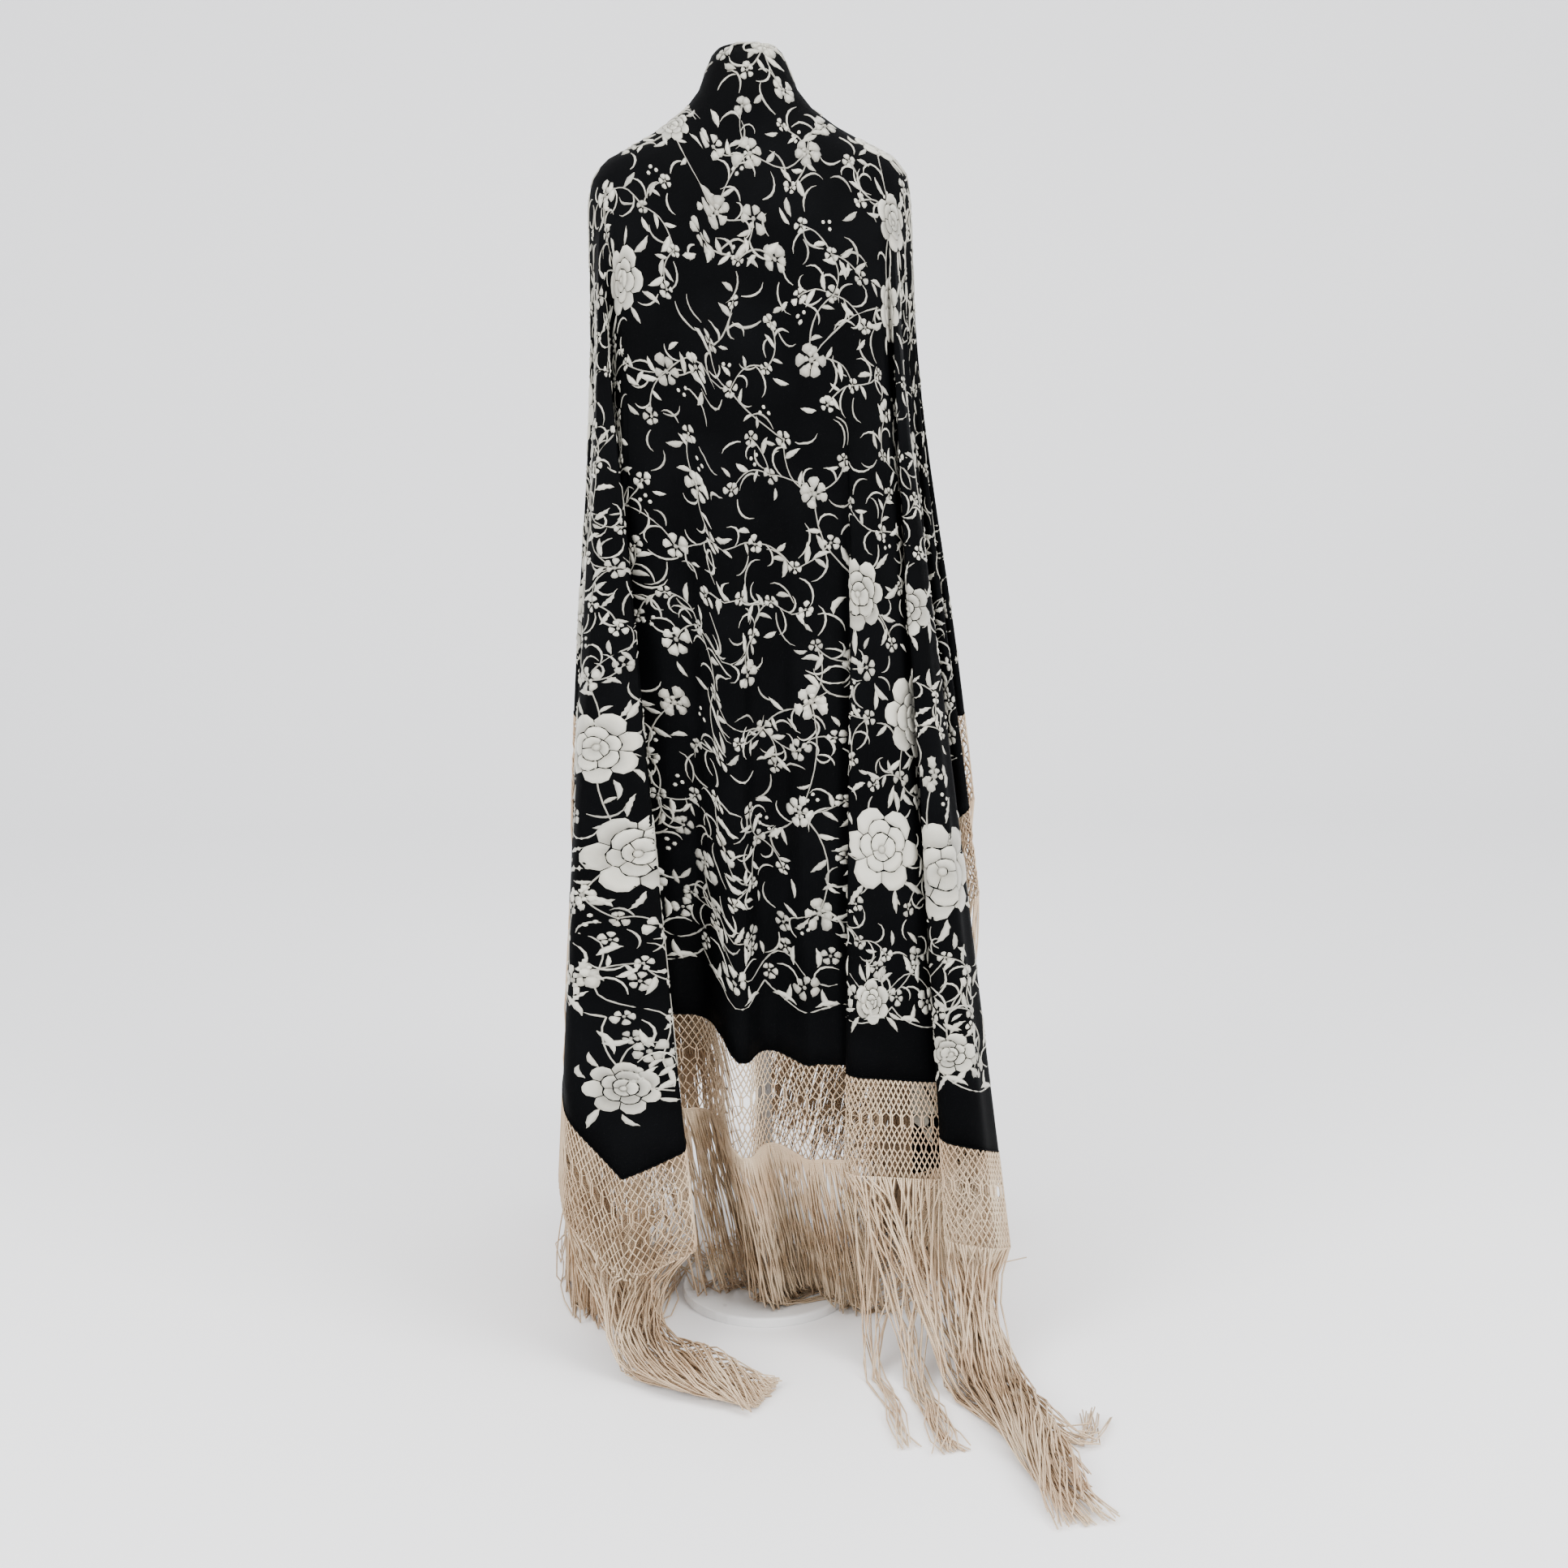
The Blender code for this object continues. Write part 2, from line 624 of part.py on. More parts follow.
def backing_columns(where, pairs):
    """The backing's columns, at the cloth's own columns and both sides of each lock, and the locks' spans."""
    inset = 2e-3
    own = np.array([where[0] + inset, *where[1:-1], where[-1] - inset])
    # A side that all but meets a column moves onto it, by less than half of its lock's width.
    snap = np.minimum(1e-3, 0.3 * (pairs[1] - pairs[0]))
    nearest = own[np.abs(pairs[:, :, None] - own).argmin(axis=2)]
    sides = np.where(np.abs(nearest - pairs) < snap, nearest, pairs)
    columns = np.unique(np.concatenate([own, sides.reshape(-1)]))
    return columns, [tuple(np.searchsorted(columns, side)) for side in sides.T]


def between(columns, where, points):
    """Points at the columns, in a straight line between the surface's own columns."""
    rows = [[np.interp(columns, where, row[:, axis]) for axis in range(3)] for row in points]
    return np.array(rows).transpose(0, 2, 1)


def past_pole(touch, flat):
    """A level direction, turned as far as a lock needs to lie past the pole."""
    flat = flat / np.linalg.norm(flat)
    distance = math.hypot(touch[0], touch[1])
    towards = np.array([-touch[0], -touch[1], 0.0]) / distance
    side = towards[0] * flat[1] - towards[1] * flat[0]
    clear = math.asin(min(1.0, POLE_PASSING / distance))
    if towards @ flat < 0 or abs(side) > math.sin(clear):
        return flat
    turn = math.copysign(clear, side)
    return np.array([
        towards[0] * math.cos(turn) - towards[1] * math.sin(turn),
        towards[0] * math.sin(turn) + towards[1] * math.cos(turn),
        0.0,
    ])


def lock_section(outer_a, inner_a, inner_b, outer_b):
    """The four corners of a lock's section about its centre, from the corners of its root."""
    width = (inner_b + outer_b - inner_a - outer_a) / 4
    thickness = outer_a + outer_b - inner_a - inner_b
    thickness *= LOCK_THICKNESS / 2 / np.linalg.norm(thickness)
    return [thickness - width, -thickness - width, width - thickness, width + thickness]


def lock_line(root, fall, drift, lie, lie_height):
    """A lock's points below its root: it falls, and bends where it meets the floor."""
    drop = np.array([drift[0], drift[1], -1.0])
    drop[:2] += fall[:2] / max(-fall[2], 0.2)
    drop /= np.linalg.norm(drop)
    for ground in (0.0, BASE_HEIGHT):
        level = min(ground + FLOOR_CLEARANCE + lie_height, root[2] - LEAST_FALL)
        reach = (root[2] - level) / -drop[2]
        if reach > STRAND_LENGTH:
            return [root + drop * STRAND_LENGTH * share for share in (0.5, 1.0)]
        touch = root + drop * reach
        flat = past_pole(touch, np.array([lie[0] - touch[0], lie[1] - touch[1], 0.0]))
        bend = min(FLOOR_BEND, reach * 0.5)
        left = max(STRAND_LENGTH - reach, 2 * bend)
        nearest = touch - flat * min(max(touch @ flat, -left), 0.0)
        if math.hypot(nearest[0], nearest[1]) > BASE_RADIUS + LOCK_WIDTH:
            break
    return [touch - drop * bend, touch + flat * bend, touch + flat * left]


def make_fringe(index):
    """Locks of strands on a narrow backing strip that hangs from the net's lower edge."""
    name, _, _, drift_x, drift_y, lie_x, lie_y, rise = STRETCHES[index]
    where = stretch_places(index)
    inset = 4e-3
    pairs = hem_steps(where[0] + inset, where[-1] - inset)
    columns, spans = backing_columns(where, pairs)
    hem = ruling(where)[2]
    lift = lifted(drape(where, (hem + NET_DEPTH)[None, :])[0, :, 2], NET_LOWEST)
    gaps = np.maximum(hem_gaps(where, hem + NET_DEPTH), hem_gaps(where, hem + NET_DEPTH, lift))
    top = hem + NET_DEPTH + gaps
    sides = drape_sides(where, np.stack([top, top + BACKING_DEPTH]), NET_WALL)
    outer, inner = (between(columns, where, points + lift[:, None] * [0.0, 0.0, 1.0]) for points in sides)
    rings = [inner[0], outer[0], outer[1], inner[1]]
    count = len(columns)
    points = [p for ring in rings for p in ring]
    faces = []
    under_locks = {j for a, b in spans for j in range(a, b)}
    for j in range(count - 1):
        for k in range(4):
            if k == 2 and j in under_locks:
                continue
            a, b = k * count + j, ((k + 1) % 4) * count + j
            faces.append((a, b, b + 1, a + 1))
    faces.append(tuple(k * count for k in (3, 2, 1, 0)))
    faces.append(tuple(k * count + count - 1 for k in (0, 1, 2, 3)))
    fall = outer[1] - outer[0]
    for number, (a, b) in enumerate(spans):
        edge_out, edge_in = 2 * count, 3 * count
        ring = [edge_out + a, edge_in + a, edge_in + b, edge_out + b]
        root = np.mean([points[k] for k in ring], axis=0)
        lie_height = rise + LIE_HEIGHTS[number % len(LIE_HEIGHTS)]
        line = lock_line(root, fall[a] / BACKING_DEPTH, (drift_x, drift_y), (lie_x, lie_y), lie_height)
        shape = lock_section(*(points[k] for k in ring))
        inner_side = range(edge_in + a, edge_in + b + 1)
        outer_side = range(edge_out + b, edge_out + a - 1, -1)
        sides = [ring[:2], inner_side, ring[2:], outer_side]
        for step, centre in enumerate(line, start=1):
            behind = line[step - 2] if step > 1 else root
            ahead = line[step] if step < len(line) else 2 * centre - behind
            way = (ahead - behind) / np.linalg.norm(ahead - behind)
            size = 1 + (LOCK_TIP_WIDTH / LOCK_WIDTH - 1) * step / len(line)
            new = list(range(len(points), len(points) + 4))
            points += [centre + turn_to(offset, way) * size for offset in shape]
            for k in range(4):
                faces.append((*sides[k], new[(k + 1) % 4], new[k]))
            sides = [(new[k], new[(k + 1) % 4]) for k in range(4)]
        faces.append(tuple(new))
    return closed_object(f"fringe_{name}", points, faces, "fringe", smooth=False)


def turn_to(offset, way):
    """An offset in a level section, turned so that the section stands across a direction."""
    down = np.array([0.0, 0.0, -1.0])
    axis = np.cross(down, way)
    sine, cosine = np.linalg.norm(axis), float(down @ way)
    if sine < 1e-6:
        return offset
    axis /= sine
    along = axis * (axis @ offset) * (1 - cosine)
    return offset * cosine + np.cross(axis, offset) * sine + along


# The dress form


def ring_points(height):
    half_width, half_depth, power = section(height)
    angle = np.arange(FORM_SEGMENTS) * 2 * math.pi / FORM_SEGMENTS
    x = half_width * np.sign(np.cos(angle)) * np.abs(np.cos(angle)) ** (2 / power)
    y = half_depth * np.sign(np.sin(angle)) * np.abs(np.sin(angle)) ** (2 / power)
    return [(px, py, height) for px, py in zip(x, y)]


def make_torso():
    heights = [row[0] for row in FORM_SECTIONS]
    points = [p for height in heights for p in ring_points(height)]
    faces = grid_faces(len(heights), FORM_SEGMENTS, closed=True)
    faces.append(tuple(range(FORM_SEGMENTS)))
    last = (len(heights) - 1) * FORM_SEGMENTS
    faces.append(tuple(range(last + FORM_SEGMENTS - 1, last - 1, -1)))
    return closed_object("form_torso", points, faces, "form")


def turned_object(name, profile, segments, material_name):
    """A solid turned round Z from a profile of radius and height that starts and ends on the axis."""
    work = bmesh.new()
    verts = [work.verts.new((radius, 0, height)) for radius, height in profile]
    edges = [work.edges.new(pair) for pair in zip(verts, verts[1:])]
    bmesh.ops.spin(
        work,
        geom=verts + edges,
        cent=(0, 0, 0),
        axis=(0, 0, 1),
        angle=2 * math.pi,
        steps=segments,
        use_merge=True,
    )
    bmesh.ops.remove_doubles(work, verts=work.verts, dist=1e-6)
    bmesh.ops.recalc_face_normals(work, faces=work.faces)
    mesh = bpy.data.meshes.new(name)
    work.to_mesh(mesh)
    work.free()
    made = add_object(name, mesh, material_name)
    mesh.set_sharp_from_angle(angle=math.radians(40))
    return made


def make_stand():
    top = FORM_BOTTOM - SEAM_GAP
    bottom = BASE_HEIGHT + SEAM_GAP
    turned_object("stand_pole", [(0, bottom), (POLE_RADIUS, bottom), (POLE_RADIUS, top), (0, top)], 20, "stand")
    edge = BASE_RADIUS - BASE_ROUNDING
    shoulder = BASE_HEIGHT - BASE_ROUNDING
    profile = [
        (0, 0),
        (BASE_RADIUS - 0.001, 0),
        (BASE_RADIUS, 0.001),
        (BASE_RADIUS, shoulder),
        (edge + BASE_ROUNDING * 0.7, BASE_HEIGHT - BASE_ROUNDING * 0.3),
        (edge, BASE_HEIGHT),
        (0, BASE_HEIGHT),
    ]
    turned_object("stand_base", profile, 40, "stand")


def clear_scene():
    for old in list(bpy.data.objects):
        bpy.data.objects.remove(old)


def main():
    clear_scene()
    make_torso()
    make_stand()
    make_yoke()
    for index in range(len(STRETCHES)):
        make_stretch(index)
        make_net(index)
        make_fringe(index)


main()
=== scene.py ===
"""Looks for the piano shawl on its dress form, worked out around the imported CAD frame.

The cloth is one square, laid over the form by the same fold plan as the CAD solids. Everything sewn or
tied to it is placed in the cloth's own flat coordinates and then carried onto the draped surface.
"""

import math

import bpy
import numpy as np
from mathutils import Matrix


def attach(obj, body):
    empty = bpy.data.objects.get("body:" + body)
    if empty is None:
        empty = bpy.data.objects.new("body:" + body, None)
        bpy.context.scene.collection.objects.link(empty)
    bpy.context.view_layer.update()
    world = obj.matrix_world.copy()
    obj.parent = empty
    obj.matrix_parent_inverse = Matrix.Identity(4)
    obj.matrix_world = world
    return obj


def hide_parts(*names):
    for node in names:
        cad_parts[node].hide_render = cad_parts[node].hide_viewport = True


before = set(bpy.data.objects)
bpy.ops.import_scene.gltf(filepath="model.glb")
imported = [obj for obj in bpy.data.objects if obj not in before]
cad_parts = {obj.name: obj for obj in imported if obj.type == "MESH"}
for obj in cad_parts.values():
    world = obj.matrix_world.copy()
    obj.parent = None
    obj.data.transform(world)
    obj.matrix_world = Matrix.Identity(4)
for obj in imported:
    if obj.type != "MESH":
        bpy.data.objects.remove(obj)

bl_info = {
    "name": "Piano shawl on a dress form",
    "version": (1, 0, 0),
    "blender": (4, 5, 0),
    "location": "View3D > Sidebar > Shawl",
    "description": "Builds an embroidered square shawl with a knotted net and a long fringe",
    "category": "Object",
}

# The flat cut and the way it lies, repeated from the CAD.
SIDE = 1.62
NET_DEPTH = 0.115
TIP_U = 0.158
LEFT_OVERHANG = 0.60
RIGHT_OVERHANG = SIDE - 2 * TIP_U - LEFT_OVERHANG
NECK_V = 0.44
LEFT_TIP_V = 0.60
RIGHT_TIP_V = 0.53
TIP_X = 0.135
CLOTH_TOP = 1.4938
LOWEST_LIP = 1.17
FOLDS_START = 1.345
FOLD_PLAN_HEIGHT = 0.35
FOLD_PLAN_REACH = 0.98
FOLD_EASE_X = 0.30
FOLD_EASE_Y = 0.05
BEND_RADIUS = 0.022
BASE_HEIGHT = 0.012
BASE_RADIUS = 0.105
NET_LOWEST = 0.016
# Places along the loop: where the right fan ends, the far panel's middle, and where the left fan lies.
RIGHT_END = TIP_U + math.pi
FAR_MIDDLE = 2 * TIP_U + math.pi
LEFT_START = 3 * TIP_U + math.pi
LEFT_END = 3 * TIP_U + 2 * math.pi
LOOP_LENGTH = 4 * TIP_U + 2 * math.pi
NEAR_U = (-TIP_U - LEFT_OVERHANG, TIP_U + RIGHT_OVERHANG)

FORM_SECTIONS = np.array([
    # height, half width, half depth, power
    (0.765, 0.160, 0.108, 2.2),
    (0.870, 0.152, 0.100, 2.2),
    (0.970, 0.146, 0.094, 2.2),
    (1.080, 0.160, 0.104, 2.3),
    (1.180, 0.169, 0.105, 2.4),
    (1.270, 0.177, 0.096, 2.4),
    (1.320, 0.176, 0.086, 2.3),
    (1.352, 0.171, 0.077, 2.2),
    (1.370, 0.157, 0.071, 2.1),
    (1.385, 0.128, 0.066, 2.0),
    (1.405, 0.092, 0.061, 2.0),
    (1.425, 0.062, 0.055, 2.0),
    (1.445, 0.043, 0.044, 2.0),
    (1.468, 0.034, 0.034, 2.0),
    (1.484, 0.027, 0.026, 2.0),
    (1.491, 0.019, 0.019, 2.0),
    (1.493, 0.012, 0.012, 2.0),
])

# The fold plan at one height, once round the form from the near centre to the right.
FOLDS = (
    # panel, then rows of coordinate, x, y, loop
    ("near", (
        (-0.128, -0.098, -0.118, 0.0),
        (-0.105, -0.066, -0.100, 0.0),
        (-0.060, -0.042, -0.143, 0.0),
        (-0.038, -0.018, -0.146, 0.0),
        (0.008, 0.008, -0.104, 0.0),
        (0.056, 0.055, -0.138, 0.0),
        (0.088, 0.093, -0.143, 0.0),
        (0.112, 0.132, -0.127, 0.010),
        (0.142, 0.099, -0.166, 0.014),
    )),
    ("right", (
        (5.5, 0.200, -0.170, 0.0),
        (8.5, 0.216, -0.134, 0.0),
        (12.8, 0.224, -0.085, 0.020),
        (15.5, 0.243, -0.132, 0.0),
        (18.8, 0.200, -0.194, 0.014),
        (20.9, 0.246, -0.196, 0.0),
        (22.8, 0.258, -0.150, 0.0),
        (27.5, 0.254, -0.035, 0.0),
        (32.0, 0.185, 0.028, 0.018),
        (38.0, 0.262, 0.060, 0.018),
        (48.0, 0.145, 0.095, 0.020),
        (60.0, 0.286, 0.112, 0.020),
        (74.0, 0.102, 0.150, 0.022),
        (90.0, 0.300, 0.160, 0.022),
        (106.0, 0.075, 0.198, 0.024),
        (122.0, 0.262, 0.222, 0.024),
        (142.0, 0.085, 0.252, 0.024),
        (158.0, 0.205, 0.282, 0.024),
        (171.0, 0.105, 0.300, 0.0),
    )),
    ("far", (
        (0.150, 0.070, 0.245, 0.0),
        (0.080, 0.045, 0.176, 0.0),
        (0.000, 0.000, 0.190, 0.0),
        (-0.080, -0.045, 0.172, 0.0),
        (-0.150, -0.072, 0.240, 0.0),
    )),
    ("left", (
        (170.0, -0.110, 0.292, 0.0),
        (156.0, -0.212, 0.274, 0.024),
        (140.0, -0.085, 0.246, 0.024),
        (123.0, -0.238, 0.218, 0.024),
        (107.0, -0.080, 0.192, 0.022),
        (91.0, -0.250, 0.166, 0.022),
        (75.0, -0.106, 0.142, 0.020),
        (61.0, -0.252, 0.114, 0.020),
        (50.0, -0.148, 0.088, 0.018),
        (41.0, -0.246, 0.050, 0.020),
        (32.3, -0.219, -0.206, 0.0),
        (30.4, -0.158, -0.214, 0.0),
        (27.6, -0.092, -0.206, 0.016),
        (20.0, -0.194, -0.104, 0.0),
        (13.0, -0.218, -0.018, 0.014),
        (5.2, -0.190, -0.092, 0.0),
    )),
    ("near", (
        (-0.157, -0.148, -0.114, 0.0),
    )),
)

# The stretches between the places where the CAD solids part, with the way their strands go.
STRETCHES = (
    # name, panel, coordinate, drift x, drift y, lies towards x, y
    ("front_centre", "near", -0.143, 0.15, 0.36, 0.20, 0.90),
    ("front_right", "near", 0.096, 0.10, 0.00, 0.22, -1.00),
    ("right_edge", "right", 10.6, 0.12, 0.00, 0.44, -1.10),
    ("right_corner", "right", 29.6, 0.00, 0.10, 0.20, 0.90),
    ("right_side", "right", 54.0, -0.20, 0.08, 0.30, 0.90),
    ("right_back", "right", 98.0, -0.12, 0.00, 0.34, 0.90),
    ("back", "right", 165.0, 0.00, 0.00, 0.00, 0.90),
    ("left_back", "left", 163.0, 0.00, 0.00, -0.30, 0.90),
    ("left_side", "left", 99.0, 0.07, 0.00, -0.20, 0.90),
    ("left_corner", "left", 55.0, 0.09, 0.06, -0.20, 0.90),
    ("left_edge", "left", 36.0, 0.10, 0.25, 0.25, -0.62),
    ("left_inner", "left", 24.0, 0.00, 0.10, -0.10, 0.90),
)

# Which stretches each net and fringe piece covers.
GROUPS = {
    "front": ("front_centre", "front_right", "right_edge"),
    "right": ("right_corner", "right_side"),
    "back": ("right_back", "back", "left_back"),
    "left": ("left_side", "left_corner", "left_edge", "left_inner"),
}

# Soft creases placed on top of the folds. Each one runs down the cloth and leans a little.
CREASES = (
    # panel, then rows of coordinate, half width, depth, from length, to length, lean
    ("near", (
        (-0.083, 0.010, 0.0026, 0.42, 1.12, 0.010),
        (-0.021, 0.013, 0.0034, 0.30, 0.98, -0.012),
        (0.030, 0.009, -0.0022, 0.55, 1.15, 0.006),
        (0.047, 0.012, 0.0030, 0.36, 1.05, 0.010),
        (0.071, 0.008, -0.0018, 0.62, 1.16, -0.004),
        (-0.112, 0.007, 0.0020, 0.50, 0.95, 0.004),
        (0.124, 0.010, 0.0024, 0.28, 0.86, 0.008),
    )),
    ("right", (
        (2.2, 0.020, 0.0028, 0.34, 1.06, 0.010),
        (7.0, 0.014, -0.0022, 0.60, 1.24, 0.006),
        (17.0, 0.016, 0.0024, 0.50, 1.10, -0.010),
        (25.0, 0.018, 0.0032, 0.44, 1.20, 0.012),
        (35.2, 0.020, 0.0030, 0.30, 0.95, -0.014),
        (43.5, 0.024, 0.0036, 0.38, 0.88, 0.010),
        (54.5, 0.022, -0.0028, 0.42, 0.80, 0.012),
        (66.0, 0.026, 0.0038, 0.28, 0.74, -0.010),
        (82.0, 0.030, 0.0032, 0.30, 0.68, 0.014),
        (97.0, 0.026, -0.0030, 0.34, 0.70, -0.012),
        (113.0, 0.028, 0.0040, 0.26, 0.72, 0.010),
        (131.0, 0.030, 0.0034, 0.30, 0.60, -0.014),
        (150.0, 0.026, -0.0026, 0.32, 0.56, 0.008),
        (164.0, 0.022, 0.0030, 0.24, 0.52, 0.006),
    )),
    ("far", (
        (0.115, 0.012, 0.0036, 0.22, 0.50, 0.010),
        (0.042, 0.014, 0.0030, 0.26, 0.44, -0.008),
        (-0.036, 0.011, -0.0022, 0.24, 0.42, 0.006),
        (-0.118, 0.013, 0.0034, 0.22, 0.52, -0.010),
    )),
    ("left", (
        (164.0, 0.024, 0.0028, 0.26, 0.56, -0.010),
        (148.0, 0.028, 0.0038, 0.28, 0.62, 0.014),
        (131.0, 0.026, -0.0028, 0.34, 0.66, 0.010),
        (115.0, 0.030, 0.0036, 0.26, 0.60, -0.012),
        (99.0, 0.024, 0.0030, 0.30, 0.58, 0.010),
        (83.0, 0.028, -0.0030, 0.28, 0.62, 0.012),
        (68.0, 0.022, 0.0036, 0.30, 0.66, -0.010),
        (55.0, 0.020, 0.0028, 0.36, 0.78, 0.010),
        (46.0, 0.018, -0.0024, 0.40, 0.84, -0.008),
        (36.5, 0.016, 0.0030, 0.40, 0.96, 0.012),
        (29.2, 0.012, 0.0022, 0.42, 1.10, -0.010),
        (23.6, 0.014, -0.0024, 0.50, 1.04, 0.010),
        (16.2, 0.012, 0.0022, 0.46, 1.00, 0.006),
    )),
)

# Large flowers: where their centres lie on the flat cloth, and their radius.
PEONIES = (
    # u, v, radius
    (-0.173, 0.783, 0.038),
    (0.208, 0.742, 0.036),
    (0.203, 0.640, 0.032),
    (0.144, 1.068, 0.041),
    (0.332, 1.048, 0.030),
    (0.235, 1.197, 0.048),
    (0.184, 1.353, 0.050),
    (0.448, 1.322, 0.056),
    (-0.554, 1.312, 0.044),
    (-0.521, 1.192, 0.040),
    (0.165, 0.546, 0.025),
    (-0.098, 0.593, 0.025),
    (-0.703, 1.532, 0.030),
    (0.174, 1.530, 0.026),
    (0.513, 1.520, 0.024),
    (0.640, 1.180, 0.050),
    (0.690, 1.390, 0.056),
    (0.776, 1.534, 0.034),
    (0.720, 0.960, 0.050),
    (0.560, 0.850, 0.042),
    (0.700, 0.660, 0.052),
    (0.560, 0.480, 0.046),
    (0.730, 0.300, 0.056),
    (0.520, 0.215, 0.054),
    (0.776, 0.086, 0.034),
    (0.400, 0.420, 0.038),
    (0.300, 0.180, 0.050),
    (0.110, 0.210, 0.046),
    (-0.110, 0.180, 0.050),
    (0.010, 0.340, 0.036),
    (-0.240, 0.360, 0.042),
    (-0.330, 0.190, 0.052),
    (-0.520, 0.250, 0.056),
    (-0.672, 0.086, 0.034),
    (-0.600, 0.440, 0.048),
    (-0.380, 0.520, 0.038),
    (-0.620, 0.640, 0.052),
    (-0.440, 0.740, 0.040),
    (-0.640, 0.880, 0.050),
    (-0.500, 1.000, 0.044),
    (-0.300, 1.100, 0.040),
    (-0.360, 1.380, 0.050),
    (-0.640, 1.120, 0.050),
)

MEDIUM_FLOWERS = (
    # u, v, radius
    (-0.119, 1.251, 0.020),
    (0.066, 1.194, 0.022),
    (0.076, 0.816, 0.021),
    (0.076, 0.962, 0.020),
    (-0.076, 0.993, 0.017),
    (-0.041, 0.660, 0.020),
    (0.002, 0.601, 0.020),
    (0.076, 0.588, 0.018),
    (0.381, 0.817, 0.024),
    (0.051, 1.319, 0.018),
    (-0.087, 1.427, 0.018),
    (0.069, 1.440, 0.019),
    (0.411, 1.220, 0.021),
    (-0.492, 1.120, 0.017),
    (-0.616, 1.329, 0.015),
    (-0.672, 1.409, 0.018),
    (0.020, 0.470, 0.015),
    (0.046, 0.511, 0.016),
    (-0.195, 0.673, 0.019),
    (0.330, 1.460, 0.019),
    (-0.230, 1.460, 0.019),
)

# The net's rows: how deep each row of crossings is, whether the strands change sides there, and how far
# groups of four draw together, which leaves a line of larger holes.
NET_ROWS = (
    # share of the depth, side, drawn together
    (0.000, 0, 0.00),
    (0.055, 1, 0.00),
    (0.110, 0, 0.00),
    (0.165, 1, 0.00),
    (0.220, 0, 0.00),
    (0.275, 1, 0.00),
    (0.330, 0, 0.00),
    (0.375, 1, 0.62),
    (0.450, 1, 0.62),
    (0.500, 0, 0.00),
    (0.555, 1, 0.00),
    (0.610, 0, 0.00),
    (0.660, 1, 0.00),
    (0.705, 1, 0.30),
    (0.755, 0, 0.00),
    (0.810, 1, 0.00),
    (0.865, 0, 0.00),
    (0.925, 1, 0.00),
    (1.000, 0, 0.00),
)


# The draped surface


def unit(vectors):
    """Vectors of length one that point the same way."""
    return vectors / np.maximum(np.linalg.norm(vectors, axis=-1, keepdims=True), 1e-12)


def place(panel, coordinate):
    """The place along the loop of a panel's coordinate: u on the near and far panels, else degrees."""
    if panel == "near":
        return coordinate if coordinate > -TIP_U + 1e-9 else coordinate + LOOP_LENGTH
    if panel == "right":
        return TIP_U + math.radians(coordinate)
    if panel == "far":
        return FAR_MIDDLE - coordinate
    return LEFT_END - math.radians(coordinate)


def clearance(height):
    """How far the cloth's middle stays off the form: more round the neck."""
    return np.interp(height, (1.405, 1.445), (0.006, 0.012))


UPPER_ROWS = FORM_SECTIONS[FORM_SECTIONS[:, 0] > 1.34][::-1]
RIDGE_X = UPPER_ROWS[:, 1] + clearance(UPPER_ROWS[:, 0])
RIDGE_HEIGHTS = np.append(CLOTH_TOP, UPPER_ROWS[1:, 0])


def ridge_height(x):
    """The height of the ridge over neck and shoulders at a place to the side."""
    return np.interp(np.abs(x), RIDGE_X, RIDGE_HEIGHTS)


def ridge_v(u):
    """The cloth's v on the ridge over neck and shoulders: it grows as the ridge falls."""
    top, tip = ridge_height(0.0), ridge_height(TIP_X)
    fall = (top - ridge_height(np.abs(u) * TIP_X / TIP_U)) / (top - tip)
    return NECK_V + (np.where(u < 0, LEFT_TIP_V, RIGHT_TIP_V) - NECK_V) * fall


def loop_of(u, v):
    """Flat coordinates turned into place along the loop and length from the ridge."""
    inner = np.clip(u, -TIP_U, TIP_U)
    ridge = ridge_v(inner)
    right = np.arctan2(u - TIP_U, v - RIGHT_TIP_V)
    left = np.arctan2(-u - TIP_U, v - LEFT_TIP_V)
    w = np.where(v >= ridge, inner, FAR_MIDDLE - inner)
    w = np.where(u > TIP_U, TIP_U + right, w)
    w = np.where(u < -TIP_U, LEFT_END - left, w)
    length = np.abs(v - ridge)
    length = np.where(u > TIP_U, np.hypot(u - TIP_U, v - RIGHT_TIP_V), length)
    length = np.where(u < -TIP_U, np.hypot(u + TIP_U, v - LEFT_TIP_V), length)
    return w, length


def rulings(w):
    """Start x, plan direction and length to the hem of the straight lines down the cloth."""
    start, direction, length = np.zeros_like(w), np.zeros((2, len(w))), np.zeros_like(w)
    near = w <= TIP_U
    right = (w > TIP_U) & (w < RIGHT_END)
    far = (w >= RIGHT_END) & (w <= LEFT_START)
    left = w > LEFT_START
    start[near], direction[1, near] = w[near] * TIP_X / TIP_U, -1
    length[near] = SIDE - ridge_v(w[near])
    u = FAR_MIDDLE - w[far]
    start[far], direction[1, far] = u * TIP_X / TIP_U, 1
    length[far] = ridge_v(u)
    for side, angle, sign, overhang, tip_v in (
        (right, w - TIP_U, 1, RIGHT_OVERHANG, RIGHT_TIP_V),
        (left, LEFT_END - w, -1, LEFT_OVERHANG, LEFT_TIP_V),
    ):
        a = angle[side]
        start[side] = sign * TIP_X
        direction[0, side], direction[1, side] = sign * np.sin(a), -np.cos(a)
        to_side = overhang / np.maximum(np.sin(a), 1e-6)
        to_end = np.where(np.cos(a) > 0, SIDE - tip_v, tip_v) / np.maximum(np.abs(np.cos(a)), 1e-6)
        length[side] = np.minimum(to_side, to_end)
    return start, direction, length


